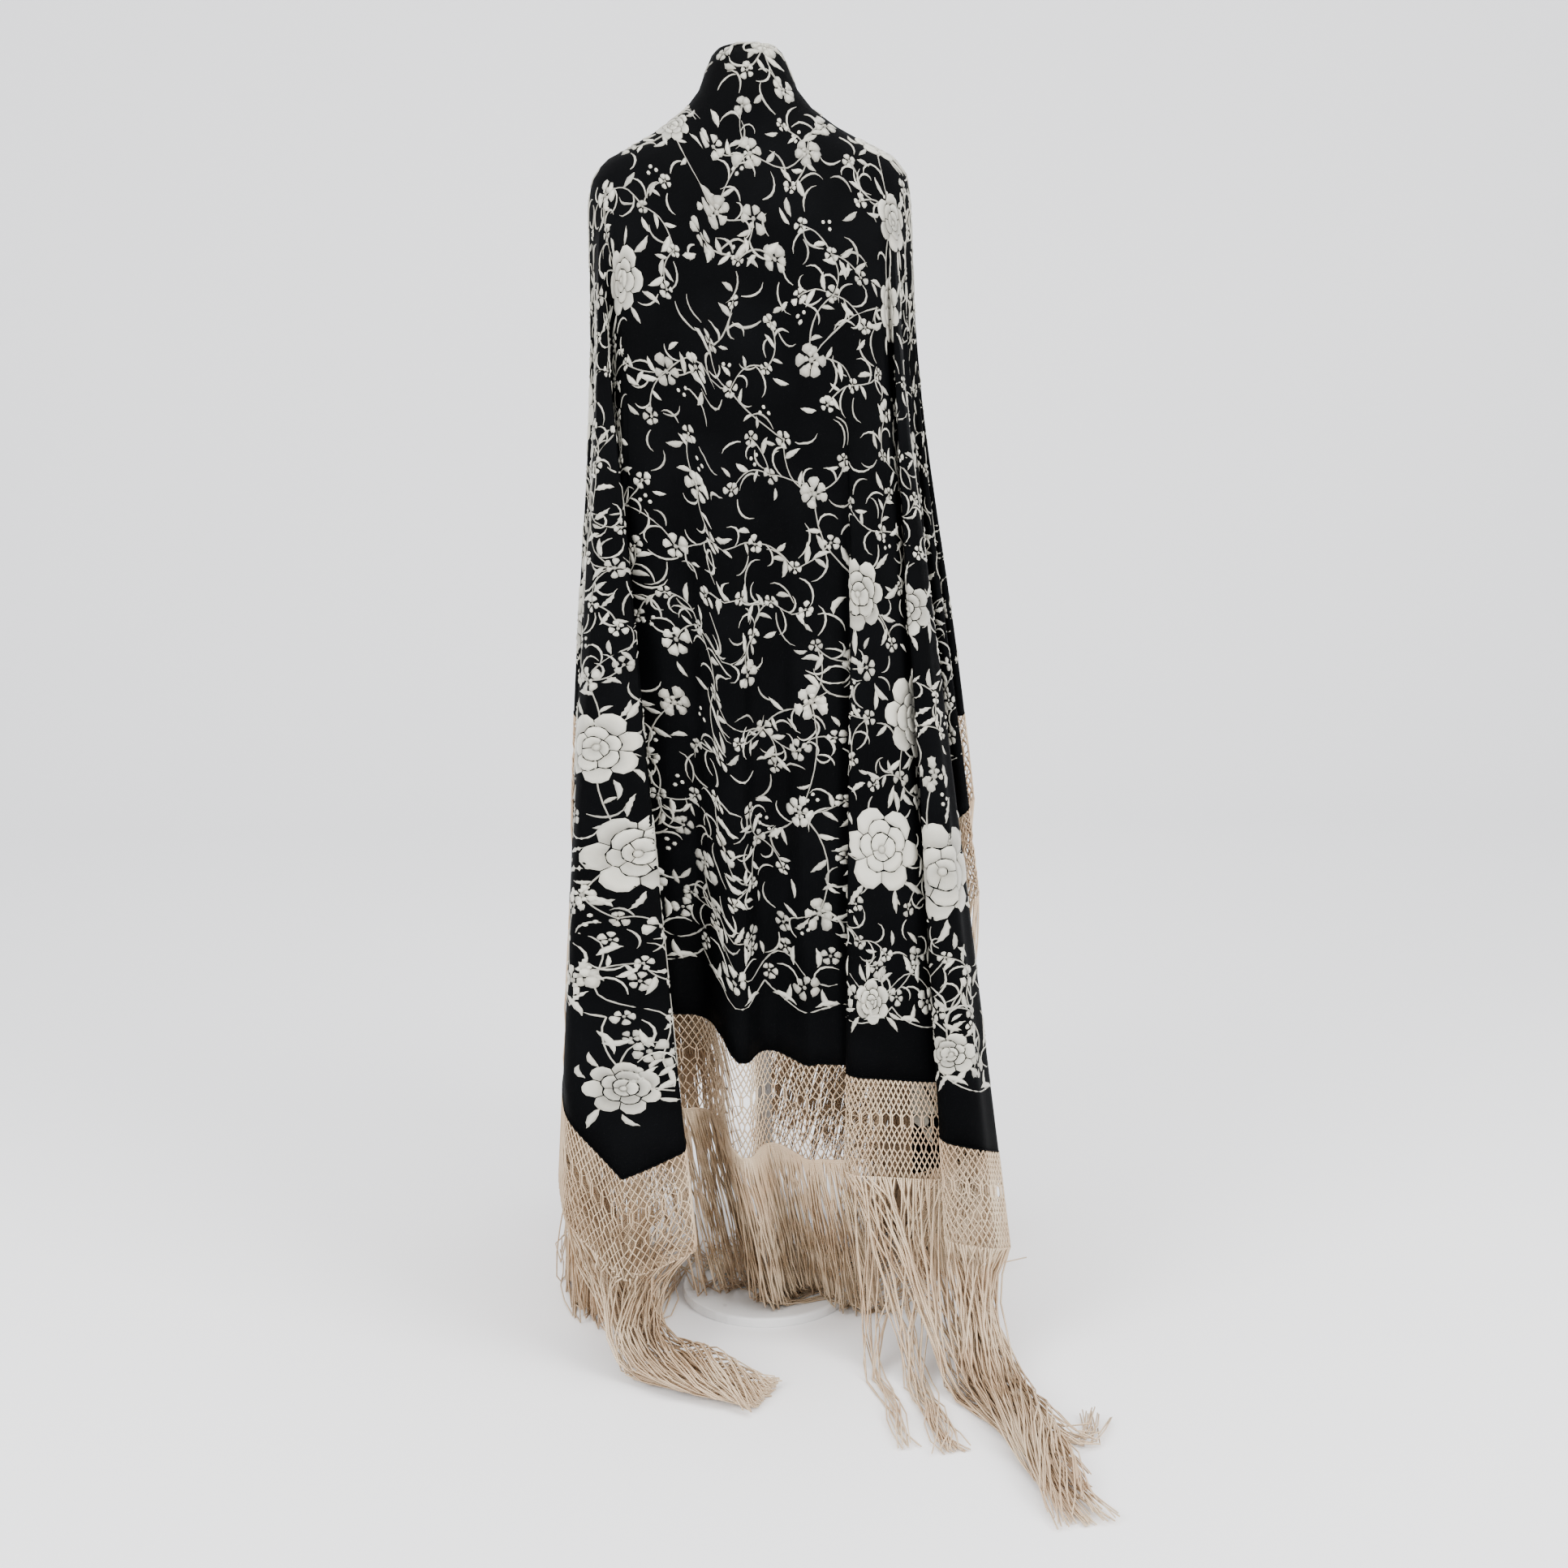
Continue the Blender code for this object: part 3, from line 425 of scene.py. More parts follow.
def corner_arc(before, at, after, radius, steps):
    """A round corner of the fold plan: a quadratic curve between the two places where it leaves the lines."""
    into, out = unit(at - before), unit(after - at)
    half_turn = math.acos(max(-1.0, min(1.0, float(into @ out)))) / 2
    room = 0.48 * min(np.linalg.norm(at - before), np.linalg.norm(after - at))
    cut = min(radius * math.tan(half_turn), room)
    t = np.linspace(0, 1, steps)[:, None]
    return (1 - t) ** 2 * (at - into * cut) + 2 * t * (1 - t) * at + t**2 * (at + out * cut)


def plan_path(steps=9):
    """Points of the fold plan with each one's place along the cloth's loop."""
    rows = [
        (place(panel, c), np.array([x, y]), loop, panel) for panel, rows in FOLDS for c, x, y, loop in rows
    ]
    corners = []
    for i, (where, at, loop, panel) in enumerate(rows):
        if not loop:
            corners.append((where, at, BEND_RADIUS))
            continue
        into = unit(at - rows[i - 1][1])
        across = np.array([-into[1], into[0]])
        side = math.copysign(loop / 2, float(across @ (rows[(i + 1) % len(rows)][1] - at)))
        half = loop / 2 if panel in ("near", "far") else loop / 2 / FOLD_PLAN_REACH
        corners += [(where - half, at - across * side, loop), (where + half, at + across * side, loop)]
    points, places = [], []
    for i, (where, at, radius) in enumerate(corners):
        arc = corner_arc(corners[i - 1][1], at, corners[(i + 1) % len(corners)][1], radius, steps)
        points += list(arc)
        places += [where if k == steps // 2 else None for k in range(steps)]
    points = np.array(points)
    along = np.concatenate([[0], np.cumsum(np.linalg.norm(np.diff(points, axis=0), axis=1))])
    total = along[-1] + np.linalg.norm(points[0] - points[-1])
    known = [k for k, p in enumerate(places) if p is not None]
    ordered = []
    for k in known:
        value = places[k]
        while ordered and value < ordered[-1] - 1e-6:
            value += LOOP_LENGTH
        ordered.append(value)
    ordered = np.array(ordered)
    known_along = along[known]
    known_along = np.concatenate([known_along[-1:] - total, known_along, known_along[:1] + total])
    known_place = np.concatenate([ordered[-1:] - LOOP_LENGTH, ordered, ordered[:1] + LOOP_LENGTH])
    known_place = np.maximum.accumulate(known_place + np.arange(len(known_place)) * 1e-7)
    return points, np.interp(along, known_along, known_place)


PLAN_POINTS, PLAN_PLACES = plan_path()


def plan_at(w):
    """The fold plan's x and y at places along the loop, in straight lines between its points."""
    first = PLAN_PLACES[0]
    turned = np.mod(w - first, LOOP_LENGTH) + first
    places = np.concatenate([PLAN_PLACES, [first + LOOP_LENGTH]])
    points = np.concatenate([PLAN_POINTS, PLAN_POINTS[:1]])
    return np.stack([np.interp(turned, places, points[:, k]) for k in (0, 1)], axis=1)


def fold_share(height, ease):
    """How much of the fold plan shows at a height: none at the top, eased in, then straight to one."""
    fallen = np.clip(FOLDS_START - height, 0, None)
    eased = np.where(fallen < ease, fallen**2 / (2 * ease), fallen - ease / 2)
    return eased / (FOLDS_START - FOLD_PLAN_HEIGHT - ease / 2)


def smooth_step(value):
    """From 0 to 1 with level ends: three times the square less two times the cube."""
    t = np.clip(value, 0, 1)
    return t * t * (3 - 2 * t)


def lengths_along(paths):
    """The distance along each path from its start to each of its points."""
    gaps = np.linalg.norm(np.diff(paths, axis=1), axis=2)
    return np.concatenate([np.zeros((len(paths), 1)), np.cumsum(gaps, axis=1)], axis=1)


def resampled(paths, along, want):
    """Points of each path at the wanted distances, in straight lines between its points."""
    made = np.empty((len(paths), want.shape[1], 3))
    for n in range(len(paths)):
        for axis in range(3):
            made[n, :, axis] = np.interp(want[n], along[n], paths[n, :, axis])
    return made


# The surface tables: places round the loop and lengths down the cloth, and how finely each column is traced.
TABLE_PLACES = 4800
TABLE_LENGTHS = 220
LONGEST = 1.50
UPPER_LEVELS = 48
LOWER_LEVELS = 30
LOWEST_LEVEL = -0.9
HALVINGS = 34


def surface_tables():
    """Points and outward normals of the draped cloth on an even grid of place and length.

    Each column follows the form's cleared section from the ridge to the lip, and then a straight line
    through its place on the fold plan. The creases are added along the normals.
    """
    w = np.linspace(-TIP_U, LOOP_LENGTH - TIP_U, TABLE_PLACES, endpoint=False)
    start, direction, _ = rulings(w)
    top = ridge_height(start)
    upper = top[:, None] - (top[:, None] - LOWEST_LIP) * np.linspace(0, 1, UPPER_LEVELS) ** 2
    lower = np.linspace(LOWEST_LIP, LOWEST_LEVEL, LOWER_LEVELS)[1:]
    height = np.concatenate([upper, np.broadcast_to(lower, (len(w), len(lower)))], axis=1)
    held = np.maximum(height, LOWEST_LIP)
    grown = clearance(held)
    half_width, half_depth, power = (
        np.interp(held, FORM_SECTIONS[:, 0], FORM_SECTIONS[:, k]) for k in (1, 2, 3)
    )
    half_width += grown
    half_depth += grown
    near, far = np.zeros_like(held), np.full_like(held, 0.4)
    for _ in range(HALVINGS):
        middle = (near + far) / 2
        x = np.abs(start[:, None] + direction[0][:, None] * middle) / half_width
        y = np.abs(direction[1][:, None] * middle) / half_depth
        inside = x**power + y**power < 1
        near, far = np.where(inside, middle, near), np.where(inside, far, middle)
    near[:, 0] = 0
    reach = np.maximum.accumulate(near, axis=1)
    x = start[:, None] + direction[0][:, None] * reach
    y = direction[1][:, None] * reach
    plan = plan_at(w)
    x = x + (plan[:, 0] - x[:, -1])[:, None] * fold_share(height, FOLD_EASE_X)
    y = y + (plan[:, 1] - y[:, -1])[:, None] * fold_share(height, FOLD_EASE_Y)
    line = np.stack([x, y, height], axis=2)
    lengths = np.linspace(0, LONGEST, TABLE_LENGTHS)
    points = resampled(line, lengths_along(line), np.broadcast_to(lengths, (len(w), TABLE_LENGTHS)))
    normals = table_normals(points)
    points += normals * crease_depths(w, lengths)[:, :, None]
    return points, table_normals(points)


def table_normals(points):
    """Outward normals: the cross product of the way down and the way across, from differences."""
    across = np.roll(points, -1, axis=0) - np.roll(points, 1, axis=0)
    down = np.gradient(points, axis=1)
    normal = unit(np.cross(down, across))
    normal[:, :3] = normal[:, 3:4]
    return normal


def crease_depths(w, lengths):
    """How far each place stands out: a sum of soft ridges and hollows, and a little unevenness."""
    total = np.zeros((len(w), len(lengths)))
    creases = [(panel, *row) for panel, rows in CREASES for row in rows]
    for panel, coordinate, half_width, depth, first, last, lean in creases:
        centre = place(panel, coordinate) + lean * (lengths - first)[None, :]
        away = np.mod(w[:, None] - centre + LOOP_LENGTH / 2, LOOP_LENGTH) - LOOP_LENGTH / 2
        grows = smooth_step((lengths - first) / (0.35 * (last - first)))
        fades = smooth_step((last + 0.12 - lengths) / 0.24)
        total += depth * np.exp(-((away / half_width) ** 2)) * (grows * fades)[None, :]
    fanned = smooth_step((np.abs(np.mod(w - TIP_U + math.pi, LOOP_LENGTH) - math.pi) - 0.15) / 0.3)
    ripple = np.sin(w[:, None] * 92.0 + 1.1 * np.sin(lengths * 5.0)[None, :])
    ripple *= 0.6 + 0.4 * np.sin(w * 11.0 + 1.7)[:, None]
    slow = np.sin(w[:, None] * 57.0 + 2.1 - 0.8 * np.sin(lengths * 7.0 + 1.0)[None, :])
    size = 0.0011 + 0.0026 * fanned[:, None]
    return total + size * (ripple + 0.6 * slow) * smooth_step((lengths - 0.22) / 0.45)[None, :]


SURFACE_POINTS, SURFACE_NORMALS = surface_tables()


def looked_up(table, w, length):
    """Reads a table between its places and lengths, in straight lines both ways."""
    across = np.mod(w + TIP_U, LOOP_LENGTH) / LOOP_LENGTH * TABLE_PLACES
    down = np.clip(length / LONGEST * (TABLE_LENGTHS - 1), 0, TABLE_LENGTHS - 1.001)
    i, j = np.floor(across).astype(int), np.floor(down).astype(int)
    a, b = (across - i)[..., None], (down - j)[..., None]
    i, after = i % TABLE_PLACES, (i + 1) % TABLE_PLACES
    upper = table[i, j] * (1 - a) + table[after, j] * a
    lower = table[i, j + 1] * (1 - a) + table[after, j + 1] * a
    return upper * (1 - b) + lower * b


def on_cloth(w, length, rise=0.0):
    """Points of the draped cloth, moved out along its normal by the rise."""
    points = looked_up(SURFACE_POINTS, w, length)
    normals = unit(looked_up(SURFACE_NORMALS, w, length))
    return points + normals * np.asarray(rise)[..., None], normals


def hem_place(along):
    """Place and length where a distance along the four sides of the hem falls, from the near left corner."""
    side = np.floor(along / SIDE).astype(int) % 4
    t = along - np.floor(along / SIDE) * SIDE
    left, right = NEAR_U
    u = np.choose(side, [left + t, np.full_like(t, right), right - t, np.full_like(t, left)])
    v = np.choose(side, [np.full_like(t, SIDE), SIDE - t, np.zeros_like(t), t])
    return loop_of(u, v)


# Meshes


def new_piece(name, points, faces, finish, uv, shade=None):
    """A mesh object at the origin from arrays of points and faces; its flat coordinates are its UV map."""
    mesh = bpy.data.meshes.new(name)
    mesh.from_pydata(points.tolist(), [], [face for part in faces for face in part.tolist()])
    corner = np.empty(len(mesh.loops), dtype=np.int32)
    mesh.loops.foreach_get("vertex_index", corner)
    layer = mesh.uv_layers.new(name="flat")
    layer.data.foreach_set("uv", uv[corner].astype(np.float32).ravel())
    if shade is not None:
        mesh.attributes.new("shade", "FLOAT", "POINT").data.foreach_set("value", shade.astype(np.float32))
    mesh.materials.append(finish)
    mesh.shade_smooth()
    made = bpy.data.objects.new(name, mesh)
    bpy.context.scene.collection.objects.link(made)
    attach(made, "root")
    return made


def many(faces, count, size):
    """The same faces for each of many parts with the same number of points."""
    return (faces[None] + (np.arange(count) * size)[:, None, None]).reshape(-1, faces.shape[1])


def tube_faces(steps, sides, closed=False):
    """Quads between the rings of a tube, without its two ends."""
    i, k = np.meshgrid(np.arange(steps if closed else steps - 1), np.arange(sides), indexing="ij")
    after, turn = (i + 1) % steps, (k + 1) % sides
    quads = np.stack([i * sides + k, i * sides + turn, after * sides + turn, after * sides + k], axis=-1)
    return quads.reshape(-1, 4)


def tubes(paths, radius, sides, closed=False, normals=None):
    """Tubes along many paths at once: a ring of points round each path point, across its direction."""
    count, steps = paths.shape[:2]
    if closed:
        way = np.roll(paths, -1, axis=1) - np.roll(paths, 1, axis=1)
    else:
        way = np.gradient(paths, axis=1)
    way = unit(way)
    if normals is None:
        held = np.where(np.abs(way[:, 0, 2:]) < 0.9, [[0.0, 0.0, 1.0]], [[1.0, 0.0, 0.0]])
        normals = np.empty_like(paths)
        for k in range(steps):
            held = unit(held - np.sum(held * way[:, k], axis=1)[:, None] * way[:, k])
            normals[:, k] = held
    else:
        normals = unit(normals - np.sum(normals * way, axis=2)[..., None] * way)
    other = np.cross(way, normals)
    angle = np.arange(sides) * 2 * math.pi / sides
    ring = normals[:, :, None] * np.cos(angle)[:, None] + other[:, :, None] * np.sin(angle)[:, None]
    points = paths[:, :, None] + ring * np.broadcast_to(radius, (count, steps))[:, :, None, None]
    size = steps * sides
    faces = [many(tube_faces(steps, sides, closed), count, size)]
    if not closed:
        first = np.arange(sides)[::-1][None]
        last = (size - sides + np.arange(sides))[None]
        faces += [many(first, count, size), many(last, count, size)]
    return points.reshape(-1, 3), faces


# Embroidery: shapes in flat coordinates with a rise, mirrored to the other face of the cloth


# How much the threads of a leaf or stem slant across it.
THREAD_SLANT = 0.6


# Each point carries a shade from 0 to 1 that the satin material turns into painted sheen and shade: low
# values are grey, high values cream.
class Stitches:
    """Gathers stitched shapes and puts them on both faces of the cloth as closed mounds."""

    def __init__(self):
        self.points, self.faces, self.uv, self.shade, self.count = [], [], [], [], 0

    def add(self, flat, rise, faces, threads, shade):
        """Puts one heap of points and faces behind those gathered before."""
        self.points.append(np.concatenate([flat, rise[:, None]], axis=1))
        self.faces += [part + self.count for part in faces]
        self.uv.append(threads)
        self.shade.append(shade)
        self.count += len(flat)

    def ribbons(self, paths, half_widths, rises, shade=0.8):
        """Mounds along paths: each section has its edges in the cloth and a ridge on each face."""
        count, steps = paths.shape[:2]
        half_widths, rises = (np.broadcast_to(part, (count, steps)) for part in (half_widths, rises))
        way = unit(np.gradient(paths, axis=1))
        across = np.stack([-way[..., 1], way[..., 0]], axis=-1) * half_widths[..., None]
        flat = np.stack([paths + across, paths, paths - across, paths], axis=2).reshape(-1, 2)
        none = np.zeros_like(rises)
        rise = np.stack([none, rises, none, -rises], axis=2).ravel()
        side = np.stack([half_widths, none, -half_widths, none], axis=2)
        slanted = np.repeat(lengths_along(paths)[..., None], 4, axis=2) + side * THREAD_SLANT
        threads = np.stack([slanted, side], axis=-1).reshape(-1, 2)
        size = steps * 4
        faces = [
            many(tube_faces(steps, 4)[:, ::-1], count, size),
            many(np.array([[0, 1, 2, 3]]), count, size),
            many(np.array([[size - 1, size - 2, size - 3, size - 4]]), count, size),
        ]
        shades = np.broadcast_to(np.asarray(shade, float).reshape(-1, 1), (count, size)).ravel()
        self.add(flat, rise, faces, threads, shades)

    def mounds(self, outlines, middles, rise, shade=0.85, base=0.55):
        """Low mounds inside outlines: each outline point joined to a raised middle on both faces."""
        count, corners = outlines.shape[:2]
        flat = np.concatenate([outlines, middles[:, None], middles[:, None]], axis=1)
        heights = np.zeros((count, corners + 2))
        heights[:, -2], heights[:, -1] = rise, -np.asarray(rise)
        k = np.arange(corners)
        top = np.stack([k, (k + 1) % corners, np.full(corners, corners)], axis=1)
        under = np.stack([(k + 1) % corners, k, np.full(corners, corners + 1)], axis=1)
        size = corners + 2
        turned = outlines - middles[:, None]
        threads = np.concatenate([turned, np.zeros((count, 2, 2))], axis=1).reshape(-1, 2)
        shades = np.ones((count, size)) * np.asarray(shade, float).reshape(-1, 1)
        # Painted shade: the first outline point, which is a petal's foot, gets the base shade.
        shades[:, 0] = base
        faces = [many(np.concatenate([top, under]), count, size)]
        self.add(flat.reshape(-1, 2), heights.ravel(), faces, threads, shades.ravel())

    def patches(self, grids, rises, threads, shades):
        """Closed patches from grids of flat points: an upper sheet, the same below, and a rim between."""
        count, rows, columns = grids.shape[:3]
        size = rows * columns
        i, j = np.meshgrid(np.arange(rows - 1), np.arange(columns - 1), indexing="ij")
        a = i * columns + j
        upper = np.stack([a, a + 1, a + columns + 1, a + columns], axis=-1).reshape(-1, 4)
        rim = [(0, j) for j in range(columns)] + [(i, columns - 1) for i in range(1, rows)]
        rim += [(rows - 1, j) for j in range(columns - 2, -1, -1)]
        rim += [(i, 0) for i in range(rows - 2, 0, -1)]
        ids = np.array([i * columns + j for i, j in rim])
        after = np.roll(ids, -1)
        walls = np.stack([after, ids, ids + size, after + size], axis=1)
        faces = np.concatenate([upper, upper[:, ::-1] + size, walls])
        flat, threads, shades = (
            np.tile(part.reshape(count, size, -1), (1, 2, 1)) for part in (grids, threads, shades)
        )
        heights = rises.reshape(count, size)
        heights = np.concatenate([heights, -heights], axis=1).ravel()
        faces = [many(faces, count, 2 * size)]
        self.add(flat.reshape(-1, 2), heights, faces, threads.reshape(-1, 2), shades.ravel())

    def piece(self, name, finish):
        """One object from all that was gathered, carried onto the draped cloth."""
        flat = np.concatenate(self.points)
        w, length = loop_of(flat[:, 0], flat[:, 1])
        points, _ = on_cloth(w, length, flat[:, 2])
        quads = [part for part in self.faces if part.shape[1] == 4]
        others = [part for part in self.faces if part.shape[1] == 3]
        faces = [np.concatenate(part) for part in (quads, others) if part]
        uv, shade = np.concatenate(self.uv), np.concatenate(self.shade)
        return new_piece(name, points, faces, finish, uv, shade)


def around_circle(angle):
    """Points of a circle of radius one at the angles."""
    return np.stack([np.cos(angle), np.sin(angle)], axis=-1)


def turned_by(flat, angle):
    """Flat vectors turned about the origin by an angle each."""
    cosine, sine = np.cos(angle), np.sin(angle)
    turned = [flat[:, 0] * cosine - flat[:, 1] * sine, flat[:, 0] * sine + flat[:, 1] * cosine]
    return np.stack(turned, axis=1)


def curved_paths(starts, headings, lengths, turns, steps, power=1.0):
    """Paths from starts and headings that turn by a total angle on their way, at a rate set by the power."""
    headings, lengths, turns = (np.broadcast_to(part, len(starts)) for part in (headings, lengths, turns))
    t = np.linspace(0, 1, steps)
    heading = headings[:, None] + turns[:, None] * t[None, :] ** power
    step = around_circle(heading) * (lengths / (steps - 1))[:, None, None]
    moved = np.cumsum((step[:, 1:] + step[:, :-1]) / 2, axis=1)
    return starts[:, None] + np.concatenate([np.zeros((len(starts), 1, 2)), moved], axis=1)


def bent_between(first, last, bulge, steps):
    """Paths between two points with a sideways bulge: a quadratic curve."""
    t = np.linspace(0, 1, steps)[None, :, None]
    across = np.stack([-(last - first)[:, 1], (last - first)[:, 0]], axis=1)
    middle = (first + last) / 2 + across * bulge[:, None]
    return (1 - t) ** 2 * first[:, None] + 2 * t * (1 - t) * middle[:, None] + t**2 * last[:, None]


# A large flower's petals: the points of each one, and the width of the bare line round it.
PETAL_ROWS = 4
PETAL_COLUMNS = 6
VOID = 0.0011
# For each ring of petals, from the middle: its radius as a share of the flower's, and its scallops' depth.
RINGS = ((0.33, 0.16), (0.62, 0.20), (1.0, 0.25))


def add_peony(stitches, centre, radius, turn, draw):
    """A large flower of three rings of uneven petals round a middle, parted by thin lines of bare cloth.

    In polar form, a ring's outer edge is its radius, times one plus a lean to one side that is larger for
    the inner rings, times one less a scallop for each petal. The next ring starts a line's width outside.
    """
    counts = (3, 5, 6 + int(draw.integers(0, 2)))
    # Painted sheen and shade: the whole flower is made whiter or greyer at random.
    tone = 0.12 * draw.standard_normal()
    squash = 0.88 + 0.2 * draw.random()
    lean_to = draw.random() * 2 * math.pi

    def inner_edge(angle):
        return np.full_like(angle, radius * 0.08)

    for count, (share, lobe) in zip(counts, RINGS):
        offset = turn + draw.random() * 2
        cuts = np.arange(count + 1) + np.append(0.22 * (draw.random(count) - 0.5), 0.0)
        cuts[0] = 0
        cuts *= 2 * math.pi / count
        lean = 0.34 * (1 - share)

        def outer_edge(angle, cuts=cuts, offset=offset, share=share, lobe=lobe, lean=lean, count=count):
            phase = np.interp(np.mod(angle - offset, 2 * math.pi), cuts, np.arange(count + 1))
            across = (phase - np.floor(phase)) * 2 - 1
            scallop = 1 - lobe * across**4 - 0.15 * lobe * across**2
            scallop -= 0.02 * np.cos(3 * math.pi * across)
            return radius * share * (1 + lean * np.cos(angle - lean_to)) * scallop

        a = np.linspace(-1, 1, PETAL_COLUMNS)
        b = np.linspace(0, 1, PETAL_ROWS)[None, :, None]
        half = np.diff(cuts) / 2
        centres = offset + cuts[:-1] + half
        trim = VOID / 2 / (radius * share * 0.75)
        angle = centres[:, None, None] + a[None, None, :] * (half - trim)[:, None, None]
        low = inner_edge(angle) + VOID
        high = outer_edge(angle)
        reach = low + (high - low) * b
        angle = np.broadcast_to(angle, reach.shape)
        flat = np.stack([np.cos(angle) * squash, np.sin(angle)], axis=-1) * reach[..., None]
        dome = (1 - 0.8 * a**4)[None, None, :] * np.sin(math.pi * (0.2 + 0.66 * b))
        rises = np.broadcast_to(0.0008 + 0.0010 * dome, reach.shape)
        threads = np.stack([(angle - centres[:, None, None]) * radius * share, reach], axis=-1)
        # Painted satin shade: greyer towards each petal's foot, and each petal whiter or greyer at random for
        # its sheen.
        shades = 0.50 + 0.42 * b + tone + 0.10 * draw.standard_normal((count, 1, 1))
        stitches.patches(flat + centre, rises, threads, np.broadcast_to(shades, reach.shape))
        inner_edge = outer_edge
    middle = around_circle(np.linspace(0, 2 * math.pi, 9)[:-1]) * radius * 0.14
    stitches.mounds((middle + centre)[None], np.array([centre]), 0.0020, shade=0.7, base=0.7)


# A small petal's outline: how far out each point is, and how far to its side.
PETAL_OUT = np.array([0.12, 0.42, 0.74, 0.96, 1.0, 0.96, 0.74, 0.42])
PETAL_SIDE = np.array([0.0, 0.62, 1.0, 0.62, 0.0, -0.62, -1.0, -0.62])
HEXAGON = np.arange(6) * math.pi / 3


def add_flowers(stitches, centres, radii, petals, draw, fullness=0.5):
    """Small flowers: each petal is a mound whose width rises from a narrow foot to a round end."""
    count = len(centres)
    radii = np.broadcast_to(radii, count)
    turn = draw.random(count) * 2 * math.pi
    angle = turn[:, None] + 2 * math.pi * np.arange(petals)[None, :] / petals
    angle = angle + 0.16 * draw.standard_normal(angle.shape)
    reach = radii[:, None] * (1 + 0.12 * draw.standard_normal(angle.shape))
    out = around_circle(angle)
    across = np.stack([-out[..., 1], out[..., 0]], axis=-1)
    width = reach * math.pi / petals * fullness * 1.35
    shape = out[:, :, None] * PETAL_OUT[:, None] * reach[..., None, None]
    shape = shape + across[:, :, None] * PETAL_SIDE[:, None] * width[..., None, None]
    shape = (shape + centres[:, None, None]).reshape(-1, len(PETAL_OUT), 2)
    middles = centres[:, None] + out * reach[..., None] * 0.62
    # Painted sheen and shade: each flower and each petal whiter or greyer at random.
    shades = 0.44 + 0.40 * draw.random((count, 1)) + 0.14 * draw.random((count, petals))
    stitches.mounds(shape, middles.reshape(-1, 2), 0.0018, shades.ravel(), 0.5)
    knot = around_circle(HEXAGON)[None] * (radii * 0.2)[:, None, None]
    stitches.mounds(knot + centres[:, None], centres, 0.0022, shade=0.4, base=0.4)


def add_leaves(stitches, starts, headings, lengths, turns, widths, shade):
    """Leaves: widest at the middle and pointed at both ends, along a curved path."""
    paths = curved_paths(starts, headings, lengths, turns, 5)
    t = np.linspace(0, 1, 5)
    profile = np.array([0.14, 0.85, 1.0, 0.7, 0.06])
    rises = 0.0007 + 0.0009 * np.sin(math.pi * (0.12 + 0.8 * t))
    stitches.ribbons(paths, np.reshape(widths, (-1, 1)) * profile, rises, shade)


def add_tendrils(stitches, starts, headings, lengths, turns, shade):
    """Tendrils: a path that curls tighter towards its end, with a swelling that tapers both ways."""
    paths = curved_paths(starts, headings, lengths, turns, 7, 1.25)
    profile = np.array([0.5, 0.9, 1.2, 1.3, 1.1, 0.7, 0.2])
    stitches.ribbons(paths, 0.0013 * profile, 0.0011 + 0.0002 * profile, shade)


# How far in from the hem the scroll border starts and ends, and its scallops on each side.
MARGIN = 0.064
BORDER = 0.142
SCALLOPS = 15
# Small flowers: how far apart they stand, and how many places are tried.
SPACING = 0.037
TRIES = 30000


def hem_distance(u, v):
    """How far a flat place is from the nearest side of the square."""
    return np.minimum(np.minimum(u - NEAR_U[0], NEAR_U[1] - u), np.minimum(v, SIDE - v))


def scattered(draw, taken):
    """Places for small flowers, none nearer to another, or to a larger flower, than their sizes allow."""
    made = []
    every = [np.array(row) for row in taken]
    for _ in range(TRIES):
        u = NEAR_U[0] + draw.random() * SIDE
        v = draw.random() * SIDE
        edge = hem_distance(u, v)
        if edge < BORDER:
            continue
        room = SPACING * (0.86 + 0.30 * min(1.0, edge / 0.6))
        rows = np.array(every)
        away = np.hypot(rows[:, 0] - u, rows[:, 1] - v)
        if (away > room * 0.62 + rows[:, 2]).all():
            every.append(np.array([u, v, room * 0.38]))
            made.append((u, v))
    return np.array(made)


def linked(places, draw):
    """Joins each place to its nearest neighbour that comes before it, so stems make trees."""
    away = np.hypot(places[:, None, 0] - places[None, :, 0], places[:, None, 1] - places[None, :, 1])
    away += np.triu(np.full(away.shape, 9.0))
    away *= 1 + 0.25 * draw.random(away.shape)
    nearest = away.argmin(axis=1)
    keep = away[np.arange(len(places)), nearest] < 0.16
    return np.arange(len(places))[keep], nearest[keep]


def lay_out(seed):
    """All the embroidery as four heaps of stitched shapes."""
    draw = np.random.default_rng(seed)
    peonies, flowers, leaves, stems = Stitches(), Stitches(), Stitches(), Stitches()
    for u, v, radius in PEONIES:
        add_peony(peonies, np.array([u, v]), radius, draw.random() * math.pi, draw)
    large = np.array(PEONIES)
    medium = np.array(MEDIUM_FLOWERS)
    small = scattered(draw, np.concatenate([large, medium]))
    is_medium = draw.random(len(small)) < 0.16
    radii = np.where(is_medium, 0.0150, 0.0092) * (0.85 + 0.35 * draw.random(len(small)))
    add_flowers(flowers, medium[:, :2], medium[:, 2], 6, draw, 0.62)
    add_flowers(flowers, medium[:, :2], medium[:, 2] * 0.5, 5, draw, 0.5)
    add_flowers(flowers, small[is_medium], radii[is_medium], 6, draw, 0.58)
    add_flowers(flowers, small[~is_medium], radii[~is_medium], 5, draw, 0.55)
    places = np.concatenate([large[:, :2], medium[:, :2], small])
    later, earlier = linked(places, draw)
    bulge = (0.18 + 0.22 * draw.random(len(later))) * np.where(draw.random(len(later)) < 0.5, -1, 1)
    paths = bent_between(places[earlier], places[later], bulge, 9)
    stems.ribbons(paths, 0.0011, 0.0011, 0.45)
    sprout(leaves, stems, flowers, paths, draw)
    around(leaves, large, draw)
    blades(leaves, stems, small, radii, draw)
    border(flowers, leaves, stems, draw)
    return {"peonies": peonies, "flowers": flowers, "leaves": leaves, "stems": stems}


